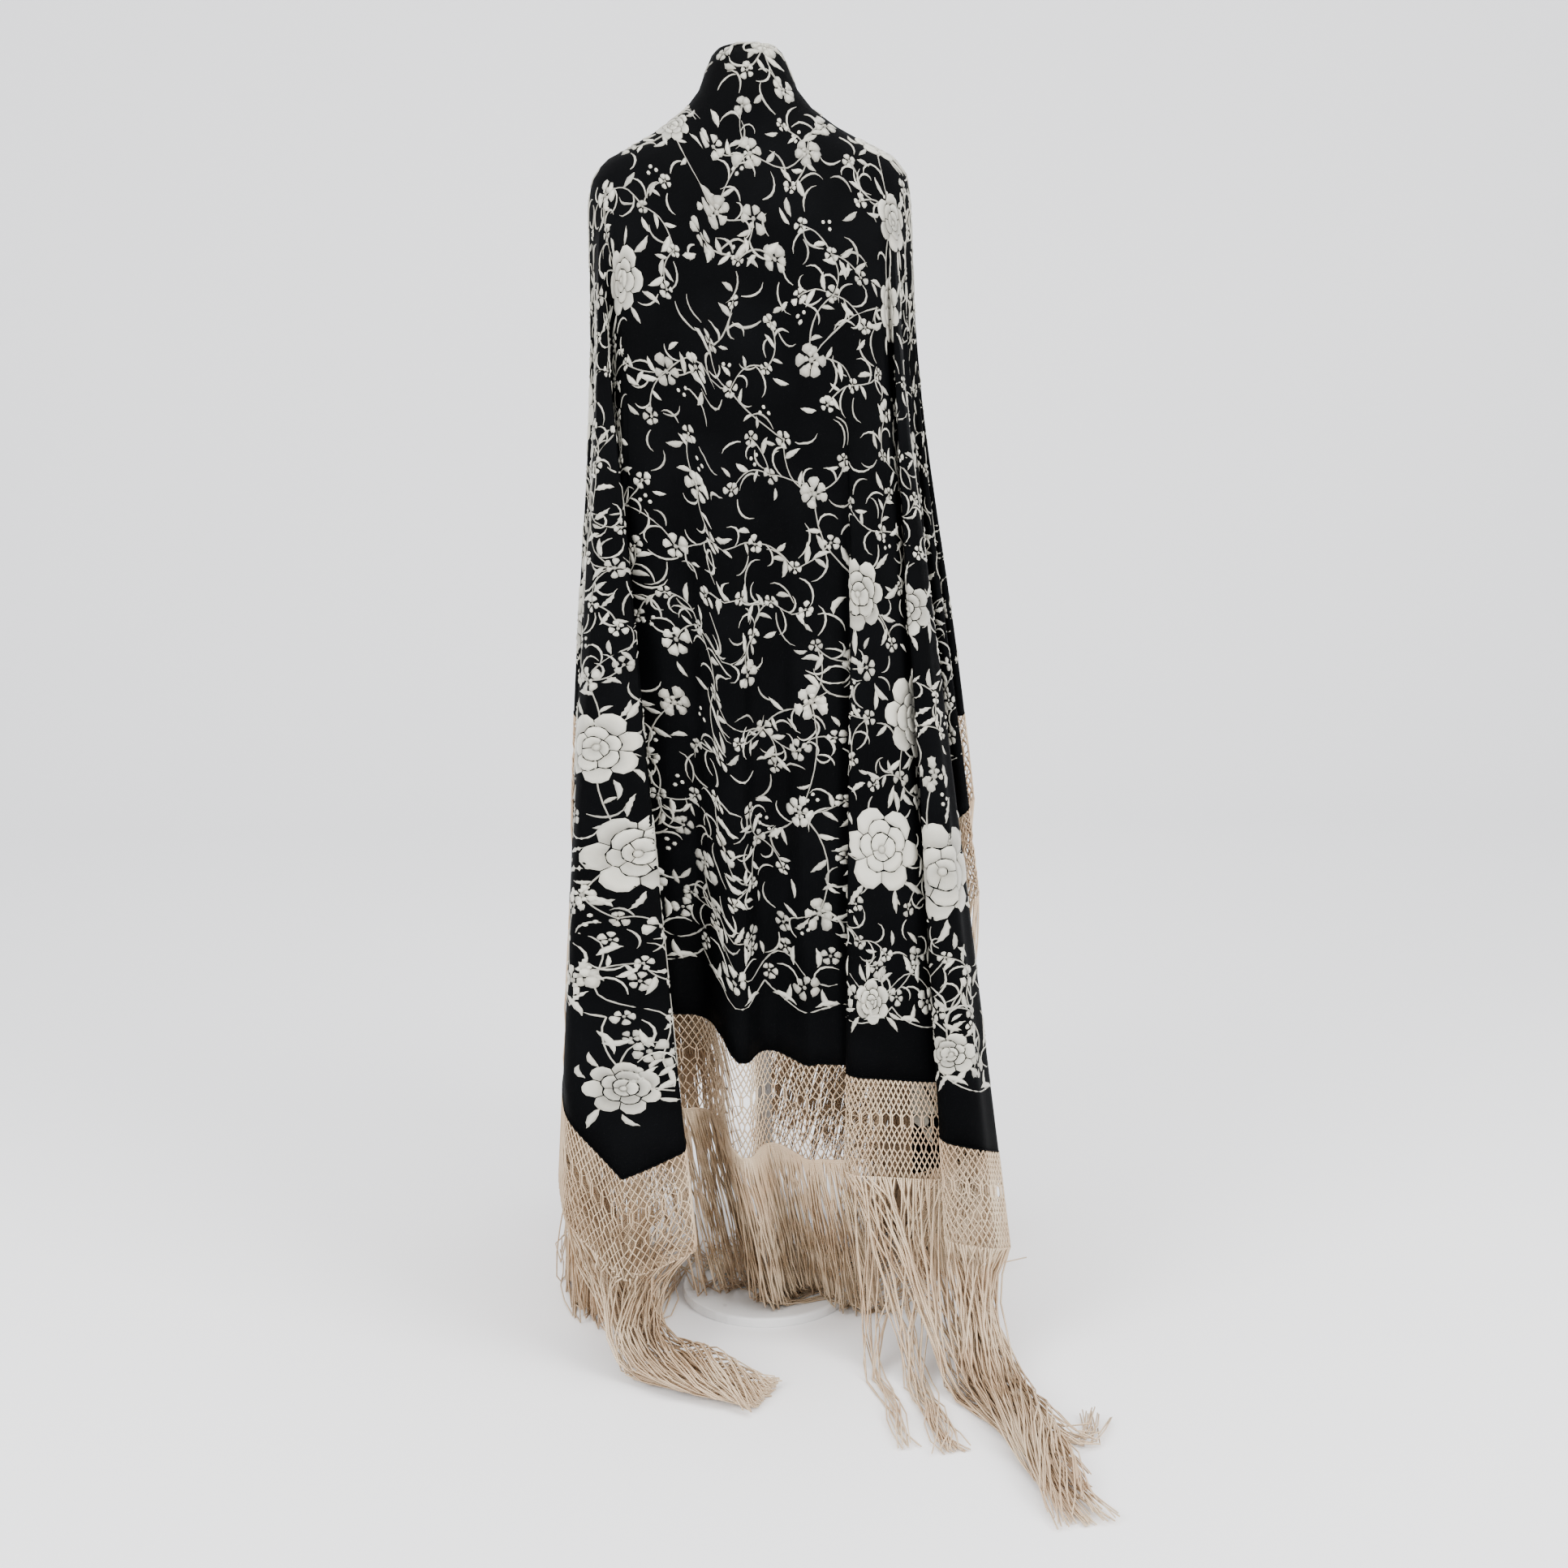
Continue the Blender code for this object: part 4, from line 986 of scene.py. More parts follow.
def sprout(leaves, stems, flowers, paths, draw):
    """Leaves, tendrils and buds along the stems, on alternate sides."""
    for number, at in enumerate((2, 4, 6)):
        start = paths[:, at]
        way = paths[:, at + 1] - paths[:, at - 1]
        heading = np.arctan2(way[:, 1], way[:, 0])
        side = np.where((np.arange(len(paths)) + number) % 2 == 0, 1.0, -1.0)
        kind = draw.random(len(paths))
        stretch = np.linalg.norm(paths[:, -1] - paths[:, 0], axis=1)
        leafy = (kind < 0.45) & (stretch > 0.03)
        curly = (kind >= 0.45) & (kind < 0.82) & (stretch > 0.03)
        budded = (kind >= 0.9) & (stretch > 0.04)
        lean = side * (0.55 + 0.5 * draw.random(len(paths)))
        size = 0.7 + 0.6 * draw.random(len(paths))
        if leafy.any():
            add_leaves(
                leaves,
                start[leafy],
                (heading + lean)[leafy],
                0.019 * size[leafy],
                (side * 0.6)[leafy],
                0.0037 * size[leafy],
                0.55 + 0.35 * draw.random(leafy.sum()),
            )
        if curly.any():
            curl = (side * (1.7 + 1.3 * draw.random(len(paths))))[curly]
            add_tendrils(stems, start[curly], (heading + lean * 0.6)[curly], 0.032 * size[curly], curl, 0.7)
        if budded.any():
            out = around_circle(heading + lean * 1.6)[budded]
            for spread, reach in ((-0.35, 0.016), (0.0, 0.021), (0.35, 0.016)):
                add_buds(flowers, start[budded] + turned_by(out, spread) * reach)


def add_buds(flowers, places):
    """A small six-cornered mound at each place."""
    ring = around_circle(HEXAGON)[None] * 0.0030
    flowers.mounds(ring + places[:, None], places, 0.0017, shade=0.9, base=0.8)


def around(leaves, large, draw):
    """A loose ring of leaves that point away from each large flower."""
    for u, v, radius in large:
        count = 7
        angle = draw.random() * 6 + np.arange(count) * 2 * math.pi / count
        angle = angle + 0.3 * draw.standard_normal(count)
        start = around_circle(angle) * radius * 0.98 + (u, v)
        size = 0.8 + 0.5 * draw.random(count)
        turns = 0.9 * draw.standard_normal(count)
        size *= 0.55 + 9.0 * radius
        heading = angle + 0.3 * draw.standard_normal(count)
        add_leaves(leaves, start, heading, 0.026 * size, turns, 0.0046 * size, 0.68)


def blades(leaves, stems, places, radii, draw):
    """Long thin curved blades and a small leaf round each small flower."""
    count = len(places)
    turn = draw.random(count) * 2 * math.pi
    for number in range(3):
        angle = turn + number * 2.1 + 0.4 * draw.standard_normal(count)
        side = np.where(draw.random(count) < 0.5, -1.0, 1.0)
        size = 0.7 + 0.6 * draw.random(count)
        start = places + around_circle(angle) * (radii * 1.45)[:, None]
        # Painted sheen and shade: each blade and tendril whiter or greyer at random.
        tone = 0.38 + 0.36 * draw.random(count)
        if number < 2:
            add_tendrils(stems, start, angle - side * 0.6, 0.034 * size, side * 1.8, tone)
        else:
            add_leaves(leaves, start, angle + side * 0.4, 0.018 * size, side * 0.6, 0.0036 * size, tone + 0.1)


def border(flowers, leaves, stems, draw):
    """The scroll border on all four sides: a scalloped line, with a flower and leaves in each scallop."""
    period = (SIDE - 2 * MARGIN) / SCALLOPS
    corners = np.array([(NEAR_U[0], SIDE), (NEAR_U[1], SIDE), (NEAR_U[1], 0.0), (NEAR_U[0], 0.0)])
    t = np.linspace(0, 1, 13)
    for side in range(4):
        first, last = corners[side], corners[(side + 1) % 4]
        way = (last - first) / SIDE
        inward = np.array([way[1], -way[0]])
        starts = first + way * (MARGIN + period * np.arange(SCALLOPS))[:, None]

        def spot(along, depth, starts=starts, way=way, inward=inward):
            return starts + way * period * along + inward * (MARGIN + depth)

        sag = np.stack([spot(x, 0.022 * (1 - math.sin(math.pi * x) ** 0.7)) for x in t], axis=1)
        wave = np.stack([spot(x, 0.046 + 0.016 * math.sin(2 * math.pi * x)) for x in t], axis=1)
        for line, rise, shade in ((sag, 0.0010, 0.6), (wave, 0.0009, 0.5)):
            stems.ribbons(line, 0.0012, rise, shade)
        heading = math.atan2(way[1], way[0])
        turn_in = math.atan2(inward[1], inward[0])
        for along, depth, radius, petals, fullness in (
            (0.50, 0.030, 0.0165, 6, 0.60),
            (0.06, 0.034, 0.0105, 5, 0.55),
            (0.78, 0.066, 0.0115, 5, 0.55),
            (0.26, 0.070, 0.0095, 5, 0.55),
        ):
            add_flowers(flowers, spot(along, depth), radius, petals, draw, fullness)
        across = np.sign(math.sin(turn_in - heading))
        for along, depth, lean, turn, reach in (
            (0.10, 0.008, 0.35, 0.9, 0.030),
            (0.90, 0.008, math.pi - 0.35, -0.9, 0.030),
            (0.24, 0.004, 0.9, -0.7, 0.024),
            (0.76, 0.004, math.pi - 0.9, 0.7, 0.024),
            (0.36, 0.052, 1.9, 0.8, 0.024),
            (0.64, 0.052, 1.2, -0.8, 0.024),
        ):
            add_leaves(leaves, spot(along, depth), heading + lean * across, reach, turn, 0.0042, 0.82)
        for along, depth, lean, turn in ((0.16, 0.044, 0.5, 2.6), (0.86, 0.050, math.pi - 0.5, -2.6)):
            add_tendrils(stems, spot(along, depth), heading + lean * across, 0.042, turn, 0.75)


# Net and fringe


def group_of(w):
    """The index of the stretch that each place along the loop falls in."""
    starts = np.array([np.mod(place(panel, c) + TIP_U, LOOP_LENGTH) for _, panel, c, *_ in STRETCHES])
    order = np.argsort(starts)
    turned = np.mod(w + TIP_U, LOOP_LENGTH)
    return order[(np.searchsorted(starts[order], turned, side="right") - 1) % len(STRETCHES)]


def hem_length(w):
    """The length from the ridge to the hem at places anywhere along the loop."""
    return rulings(np.mod(w + TIP_U, LOOP_LENGTH) - TIP_U)[2]


def net_points(along, depth):
    """Points of the net below the hem, lifted where it would sink below the floor."""
    w, length = hem_place(np.mod(along, 4 * SIDE))
    points, normals = on_cloth(w, length + depth * NET_DEPTH)
    lowest = on_cloth(w, length + NET_DEPTH)[0][..., 2]
    lift = np.maximum(NET_LOWEST - lowest, 0) * smooth_step((depth - 0.3) / 0.7)
    points[..., 2] += lift
    return points, normals, w


def net_strands(pitch):
    """Strands that step from side to side down the net and meet their neighbours at its crossings."""
    count = int(round(4 * SIDE / pitch)) * 2
    half = 4 * SIDE / count
    j = np.arange(count)[:, None]
    depth, side, drawn = np.array(NET_ROWS).T
    across = j + (side.astype(int)[None, :] + j) % 2
    group = (j // 4) * 4 + 2
    across = across + (group - across) * drawn[None, :]
    along = across * half
    return net_points(along, np.broadcast_to(depth, along.shape))


# Loose strands: the points along each one, their length, the most that they lean, the least fall that their
# lean is measured by, and how far they stay from the pole's middle.
STRAND_STEPS = 14
STRAND_LENGTH = 0.48
STEEPEST = 0.6
LEAST_FALL = 0.0023
POLE_CLEARANCE = 0.0125


def through(controls, steps):
    """Smooth paths through control points: a Catmull-Rom curve in each span, cut into even steps."""
    spans = controls.shape[1] - 1
    before = 2 * controls[:, :1] - controls[:, 1:2]
    after = 2 * controls[:, -1:] - controls[:, -2:-1]
    padded = np.concatenate([before, controls, after], axis=1)
    t = np.linspace(0, spans, steps * 2) * (1 - 1e-9)
    k = np.floor(t).astype(int)
    f = (t - k)[None, :, None]
    a, b, c, d = (padded[:, k + n] for n in range(4))
    return 0.5 * (2 * b + (c - a) * f + (2 * a - 5 * b + 4 * c - d) * f**2 + (3 * b - a - 3 * c + d) * f**3)


def cut_to(paths, lengths, steps):
    """The same paths cut at a length and divided evenly along it."""
    along = lengths_along(paths)
    want = np.linspace(0, 1, steps)[None, :] * np.minimum(lengths, along[:, -1])[:, None]
    return resampled(paths, along, want)


# Bunches on the floor: a share of a stretch's strands gathers and follows these places, twisting as it goes.
BUNCHES = (
    # stretch, share of its strands, ((x, y, height, half width), ...)
    ("left_edge", 1.0, (
        (-0.168, -0.160, 0.062, 0.042),
        (-0.140, -0.206, 0.030, 0.046),
        (-0.088, -0.248, 0.028, 0.044),
        (-0.044, -0.272, 0.022, 0.040),
        (-0.002, -0.292, 0.010, 0.044),
    )),
    ("right_edge", 0.86, (
        (0.236, -0.190, 0.056, 0.034),
        (0.254, -0.262, 0.026, 0.036),
        (0.284, -0.362, 0.022, 0.032),
        (0.304, -0.466, 0.018, 0.030),
        (0.322, -0.560, 0.009, 0.040),
    )),
    ("right_edge", 1.0, (
        (0.238, -0.190, 0.050, 0.030),
        (0.262, -0.262, 0.022, 0.030),
        (0.300, -0.352, 0.016, 0.022),
        (0.346, -0.402, 0.010, 0.022),
        (0.366, -0.340, 0.008, 0.020),
    )),
    ("front_right", 0.18, (
        (0.118, -0.170, 0.080, 0.020),
        (0.122, -0.222, 0.010, 0.014),
        (0.138, -0.290, 0.006, 0.012),
        (0.148, -0.352, 0.006, 0.014),
        (0.156, -0.400, 0.005, 0.016),
    )),
    ("front_right", 0.42, (
        (0.150, -0.190, 0.070, 0.024),
        (0.170, -0.248, 0.012, 0.018),
        (0.184, -0.316, 0.008, 0.016),
        (0.194, -0.372, 0.006, 0.020),
        (0.204, -0.410, 0.005, 0.026),
    )),
    ("front_right", 1.0, (
        (0.190, -0.196, 0.070, 0.030),
        (0.226, -0.256, 0.020, 0.030),
        (0.266, -0.350, 0.020, 0.028),
        (0.294, -0.440, 0.016, 0.028),
        (0.312, -0.520, 0.008, 0.034),
    )),
)


def strand_paths(draw, spacing):
    """Every loose strand: it falls from the net's lower edge, bends at the floor and lies along it."""
    count = int(round(4 * SIDE / spacing))
    along = (np.arange(count) + 0.5) * spacing
    # The near centre's strands hang three deep.
    thick = along[group_of(hem_place(along)[0]) == 0]
    along = np.concatenate([along, thick + spacing / 3, thick - spacing / 3])
    count = len(along)
    roots, _, w = net_points(along, np.ones(count))
    above, _, _ = net_points(along, np.full(count, 0.9))
    stretch = group_of(w)
    drift, towards = (np.array([row[k:k + 2] for row in STRETCHES])[stretch] for k in (3, 5))
    fall = roots - above
    slant = np.clip(drift + fall[:, :2] / np.maximum(-fall[:, 2:], LEAST_FALL), -STEEPEST, STEEPEST)
    slant += 0.03 * draw.standard_normal((count, 2))
    level = 0.003 + 0.012 * draw.random(count)
    sideways = slant * (roots[:, 2] - level)[:, None]
    touch = np.concatenate([roots[:, :2] + sideways, level[:, None]], axis=1)
    flat = unit(towards - touch[:, :2])
    turn = np.where(stretch == 0, 0.45, 0.12) * np.clip(draw.standard_normal(count), -2, 2)
    flat = turned_by(flat, turn)
    total = STRAND_LENGTH * (0.93 + 0.10 * draw.random(count))
    fallen = np.linalg.norm(touch - roots, axis=1)
    left = np.maximum(total - fallen, 0.02)
    wave = 0.008 * np.clip(draw.standard_normal((count, 3, 2)), -2, 2)
    controls = [roots, roots + (touch - roots) * 0.55, touch]
    for k, share in enumerate((0.34, 0.67, 1.0)):
        spot = touch[:, :2] + flat * (left * share)[:, None] + wave[:, k]
        controls.append(np.concatenate([spot, level[:, None]], axis=1))
    controls = np.stack(controls, axis=1)
    controls[:, 1, :2] += 0.0025 * draw.standard_normal((count, 2))
    follow_bunches(controls, roots, stretch, draw)
    paths = cut_to(through(controls, STRAND_STEPS), total, STRAND_STEPS)
    paths[:, 1:] += 0.0014 * draw.standard_normal(paths[:, 1:].shape) * np.array([1.0, 1.0, 0.4])
    clear_of_stand(paths)
    paths[..., 2] = np.maximum(paths[..., 2], 0.0014)
    return paths, w


def follow_bunches(controls, roots, stretch, draw):
    """Moves the strands of a gathered stretch onto their bunches, twisted round each one's middle line."""
    names = [row[0] for row in STRETCHES]
    chance = draw.random(len(roots))
    free = np.ones(len(roots), dtype=bool)
    for name, share, guide in BUNCHES:
        mine = np.flatnonzero(free & (stretch == names.index(name)) & (chance <= share))
        free[mine] = False
        guide = np.array(guide)
        angle = draw.random(len(mine)) * 2 * math.pi
        out = np.sqrt(draw.random(len(mine)))
        for k in range(len(guide)):
            ahead = guide[min(k + 1, len(guide) - 1)] - guide[max(k - 1, 0)]
            way = math.atan2(ahead[1], ahead[0])
            turned = angle + 1.1 * k
            side = np.cos(turned) * out * guide[k, 3]
            up = (1 + np.sin(turned) * out) * guide[k, 2] * 0.9
            x, y = guide[k, 0] - math.sin(way) * side, guide[k, 1] + math.cos(way) * side
            spot = np.stack([x, y, np.maximum(up, 0.002)], axis=1)
            if k == 0:
                spot = (roots[mine] + spot) / 2
            controls[mine, k + 1] = spot


def clear_of_stand(paths):
    """Moves points out of the pole, and up off the base."""
    away = np.hypot(paths[..., 0], paths[..., 1])
    grow = np.where(away < POLE_CLEARANCE, POLE_CLEARANCE / np.maximum(away, 1e-4), 1.0)
    paths[..., :2] *= grow[..., None]
    over = smooth_step((BASE_RADIUS + 0.006 - away) / 0.006)
    paths[..., 2] = np.maximum(paths[..., 2], (BASE_HEIGHT + 0.002) * over)


# Materials


def node_of(tree, kind, x, y, **values):
    """A new node at a place of the tree's drawing, with its settings."""
    node = tree.nodes.new(kind)
    node.location = (x, y)
    for key, value in values.items():
        setattr(node, key, value)
    return node


def feed(tree, node, values):
    """Gives a node's inputs their values: a socket is linked, and anything else is set."""
    for key, value in values.items():
        if isinstance(value, bpy.types.NodeSocket):
            tree.links.new(value, node.inputs[key])
        else:
            node.inputs[key].default_value = value


def new_material(name, colour, roughness):
    """A material with its base colour and roughness; returned with its tree and its shader."""
    made = bpy.data.materials.new(name)
    made.use_nodes = True
    shader = made.node_tree.nodes["Principled BSDF"]
    feed(made.node_tree, shader, {"Base Color": colour, "Roughness": roughness})
    made.diffuse_color = colour
    return made, made.node_tree, shader


def mixed(tree, factor, first, second, x, y):
    """A colour mixed by a factor; each input is a socket or a colour."""
    mix = node_of(tree, "ShaderNodeMix", x, y, data_type="RGBA")
    feed(tree, mix, {0: factor, 6: first, 7: second})
    return mix.outputs[2]


def ranged(tree, value, low, high, x, y, to_low=0.0, to_high=1.0):
    """A value moved from one range to another, held at its ends."""
    node = node_of(tree, "ShaderNodeMapRange", x, y)
    feed(tree, node, {0: value, 1: low, 2: high, 3: to_low, 4: to_high})
    return node.outputs[0]


def noise(tree, vector, scale, x, y, detail=2.0):
    """Soft uneven patches."""
    node = node_of(tree, "ShaderNodeTexNoise", x, y)
    feed(tree, node, {"Vector": vector, "Scale": scale, "Detail": detail})
    return node.outputs["Fac"]


def bands(tree, vector, scale, x, y, distortion, direction):
    """Even threads side by side, made a little uneven."""
    node = node_of(tree, "ShaderNodeTexWave", x, y, bands_direction=direction)
    feed(tree, node, {"Vector": vector, "Scale": scale, "Distortion": distortion})
    return node.outputs["Fac"]


def bumped(tree, shader, height, strength, distance, x, y, after=None):
    """Small relief on the shader's surface, laid over that of an earlier bump."""
    bump = node_of(tree, "ShaderNodeBump", x, y)
    feed(tree, bump, {"Height": height, "Strength": strength, "Distance": distance})
    if after is not None:
        feed(tree, bump, {"Normal": after})
    feed(tree, shader, {"Normal": bump.outputs["Normal"]})
    return bump.outputs["Normal"]


def flat_coordinates(tree):
    """The places of a piece on the flat cloth, or along and round a cord."""
    return node_of(tree, "ShaderNodeUVMap", -1500, 0, uv_map="flat").outputs["UV"]


def object_coordinates(tree):
    """Places in metres in the object's own frame."""
    return node_of(tree, "ShaderNodeTexCoord", -1500, -300).outputs["Object"]


def crepe_material(colour):
    """Silk crepe: a fine pebbled weave, and faint paler dusty places."""
    made, tree, shader = new_material("silk crepe", colour, 0.5)
    flat, place_in = flat_coordinates(tree), object_coordinates(tree)
    dust = ranged(tree, noise(tree, place_in, 9.0, -1200, 300, 4.0), 0.45, 0.75, -950, 300)
    lighter = tuple(c * 1.9 + 0.0006 for c in colour[:3]) + (1.0,)
    base = mixed(tree, dust, colour, lighter, -600, 300)
    weave_across = bands(tree, flat, 420.0, -1200, 0, 1.5, "X")
    weave_down = bands(tree, flat, 380.0, -1200, -200, 1.5, "Y")
    pebble = noise(tree, flat, 900.0, -1200, -400, 2.0)
    rough = ranged(tree, pebble, 0.3, 0.7, -950, -500, 0.62, 0.78)
    feed(tree, shader, {"Base Color": base, "Roughness": rough, "Specular IOR Level": 0.03})
    first = bumped(tree, shader, weave_across, 0.12, 0.0004, -600, 0)
    second = bumped(tree, shader, weave_down, 0.12, 0.0004, -450, -150, first)
    bumped(tree, shader, pebble, 0.30, 0.0005, -300, -300, second)
    return made


def stitch_material(colour, painted_shade_colour):
    """Satin stitch in silk: fine threads along each shape with painted shade between them, and painted sheen
    and shade from the shade attribute, which greys the cream silk towards the foot of a petal and at random
    over whole shapes.
    """
    made, tree, shader = new_material("satin stitch silk", colour, 0.38)
    flat, place_in = flat_coordinates(tree), object_coordinates(tree)
    shade = node_of(tree, "ShaderNodeAttribute", -1500, 500, attribute_name="shade").outputs["Fac"]
    # Painted sheen and shade: the shade attribute mixes from the grey to the cream, for how the satin catches
    # the light.
    painted_shade_ramp = ranged(tree, shade, 0.35, 0.95, -1250, 500)
    cream = mixed(tree, painted_shade_ramp, painted_shade_colour, colour, -900, 400)
    threads = bands(tree, flat, 260.0, -1200, 0, 0.6, "X")
    uneven = noise(tree, place_in, 60.0, -1200, -250, 3.0)
    yellowed = ranged(tree, uneven, 0.5, 0.8, -950, -250, 0.0, 0.35)
    aged = mixed(tree, yellowed, cream, (0.58, 0.52, 0.40, 1.0), -650, 300)
    # Painted shade in the grooves between the threads: the cream darkens towards a dark grey there.
    between = ranged(tree, threads, 0.0, 0.35, -950, 0, 0.35, 0.0)
    groove_shaded = mixed(tree, between, aged, (0.24, 0.23, 0.20, 1.0), -450, 300)
    rough = ranged(tree, threads, 0.0, 1.0, -950, -100, 0.5, 0.34)
    feed(tree, shader, {"Base Color": groove_shaded, "Roughness": rough})
    feed(tree, shader, {"Sheen Weight": 0.15, "Specular IOR Level": 0.5})
    bumped(tree, shader, threads, 0.45, 0.0005, -300, 0)
    return made


# Tan and brown stains in the net and fringe, and one broad patch of painted shade on the net's left side,
# which lies in shadow: where each one lies, and its radius.
STAINS_AND_SHADE = (
    # x, y, z, radius
    (-0.070, -0.095, 0.225, 0.070),
    (-0.060, -0.060, 0.110, 0.085),
    # Painted shade, not a stain: darkens the shadowed left side of the net.
    (-0.170, -0.190, 0.165, 0.095),
    (0.060, -0.080, 0.080, 0.080),
    (-0.100, -0.220, 0.020, 0.060),
    (0.270, -0.330, 0.015, 0.060),
    (0.150, 0.250, 0.100, 0.080),
)


def cord_material(name, colour, stain_and_shade_colour, pale_colour, twist):
    """Silk cord: a fine twist along it with painted shade in its grooves, paler and darker lengths, old tan
    stains, and painted shade in the stains' colour on the net's left side.
    """
    made, tree, shader = new_material(name, colour, 0.62)
    flat, place_in = flat_coordinates(tree), object_coordinates(tree)
    mottled = ranged(tree, noise(tree, place_in, 14.0, -1200, 300, 4.0), 0.35, 0.7, -950, 300)
    base = mixed(tree, mottled, colour, pale_colour, -700, 300)
    ragged = noise(tree, place_in, 42.0, -1200, 600, 4.0)
    for number, (x, y, z, radius) in enumerate(STAINS_AND_SHADE):
        level = 800 + 160 * number
        away = node_of(tree, "ShaderNodeVectorMath", -1200, level, operation="DISTANCE")
        feed(tree, away, {0: place_in, 1: (x, y, z)})
        near = ranged(tree, away.outputs["Value"], radius * 0.35, radius * 1.25, -950, level, 1.0, 0.0)
        patch = node_of(tree, "ShaderNodeMath", -750, level, operation="MULTIPLY")
        feed(tree, patch, {0: near, 1: ranged(tree, ragged, 0.35, 0.65, -950, 650)})
        base = mixed(tree, patch.outputs[0], base, stain_and_shade_colour, -500 + 20 * number, 500)
    threads = bands(tree, flat, twist, -1200, 0, 0.8, "DIAGONAL")
    # Painted shade in the grooves of the twist: the cord darkens towards a dark brown there.
    between = ranged(tree, threads, 0.0, 0.4, -950, 0, 0.30, 0.0)
    dark = mixed(tree, between, base, (0.16, 0.11, 0.07, 1.0), -300, 300)
    feed(tree, shader, {"Base Color": dark, "Specular IOR Level": 0.3})
    bumped(tree, shader, threads, 0.5, 0.0006, -300, 0)
    return made


def jersey_material():
    """The form's cover: a fine knit, slightly uneven in tone."""
    made, tree, shader = new_material("jersey cover", (0.78, 0.76, 0.72, 1.0), 0.8)
    place_in = object_coordinates(tree)
    knit = bands(tree, place_in, 300.0, -1200, 0, 2.0, "Z")
    ribs = bands(tree, place_in, 260.0, -1200, -200, 1.0, "X")
    tone = ranged(tree, noise(tree, place_in, 12.0, -1200, 300, 3.0), 0.3, 0.7, -950, 300)
    base = mixed(tree, tone, (0.78, 0.76, 0.72, 1.0), (0.70, 0.68, 0.64, 1.0), -600, 300)
    feed(tree, shader, {"Base Color": base, "Sheen Weight": 0.1})
    first = bumped(tree, shader, knit, 0.3, 0.0006, -600, 0)
    bumped(tree, shader, ribs, 0.25, 0.0006, -400, -100, first)
    return made


def painted_material():
    """White paint on the pole and base, with small marks and soft unevenness."""
    made, tree, shader = new_material("white painted metal", (0.82, 0.82, 0.81, 1.0), 0.35)
    place_in = object_coordinates(tree)
    marks = ranged(tree, noise(tree, place_in, 45.0, -1200, 300, 6.0), 0.62, 0.72, -950, 300)
    base = mixed(tree, marks, (0.82, 0.82, 0.81, 1.0), (0.62, 0.61, 0.59, 1.0), -600, 300)
    rough = noise(tree, place_in, 120.0, -1200, 0, 2.0)
    feed(tree, shader, {"Base Color": base, "Roughness": ranged(tree, rough, 0.2, 0.8, -950, 0, 0.28, 0.46)})
    bumped(tree, shader, rough, 0.1, 0.0004, -300, 0)
    return made


# The pieces


def cloth_columns(count):
    """Places of the cloth's columns: closer where the folds turn, and alike on the near and far panels."""
    fine = np.linspace(-TIP_U, LOOP_LENGTH - TIP_U, TABLE_PLACES, endpoint=False)
    step = np.roll(plan_at(fine), -1, axis=0) - plan_at(fine)
    size = np.linalg.norm(step, axis=1)
    levels = SURFACE_NORMALS[:, TABLE_LENGTHS // 4:TABLE_LENGTHS * 4 // 5:12]
    turn = np.linalg.norm(np.roll(levels, -1, axis=0) - levels, axis=2).mean(axis=1)
    turn = np.sqrt(np.minimum(turn, 0.25) * size)
    weight = 0.30 * size / size.sum() + 0.60 * turn / turn.sum() + 0.10 / len(fine)
    made = np.concatenate([[0], np.cumsum(weight)])
    ends = np.append(fine, LOOP_LENGTH - TIP_U)
    picked = np.interp(np.linspace(0, made[-1], count, endpoint=False), made, ends)
    far = picked[(picked > RIGHT_END) & (picked < LEFT_START)]
    us = np.concatenate([picked[picked < TIP_U], FAR_MIDDLE - far])
    us = np.sort(np.concatenate([us, [-TIP_U, TIP_U], RIDGE_X[RIDGE_X < TIP_X] * TIP_U / TIP_X]))
    us = us[np.concatenate([[True], np.diff(us) > 8e-4])]
    us[-1] = TIP_U
    sides = []
    for low, overhang, tip_v, panel in (
        (TIP_U, RIGHT_OVERHANG, RIGHT_TIP_V, "right"),
        (LEFT_START, LEFT_OVERHANG, LEFT_TIP_V, "left"),
    ):
        own = picked[(picked > low + 0.002) & (picked < low + math.pi - 0.002)]
        near = math.degrees(math.atan2(overhang, SIDE - tip_v))
        far = 180 - math.degrees(math.atan2(overhang, tip_v))
        exact = np.array([place(panel, near), place(panel, far)])
        own = own[(np.abs(own[:, None] - exact) > 0.0025).all(axis=1)]
        sides.append(np.sort(np.concatenate([own, exact])))
    return us, sides


# How finely the cloth is divided: its columns, and its rows down to the lip's height and below it.
COLUMNS = 1030
ROWS_ABOVE = 13
ROWS_BELOW = 29
LIP_HEIGHT = 1.20
LIP_SAMPLES = 120


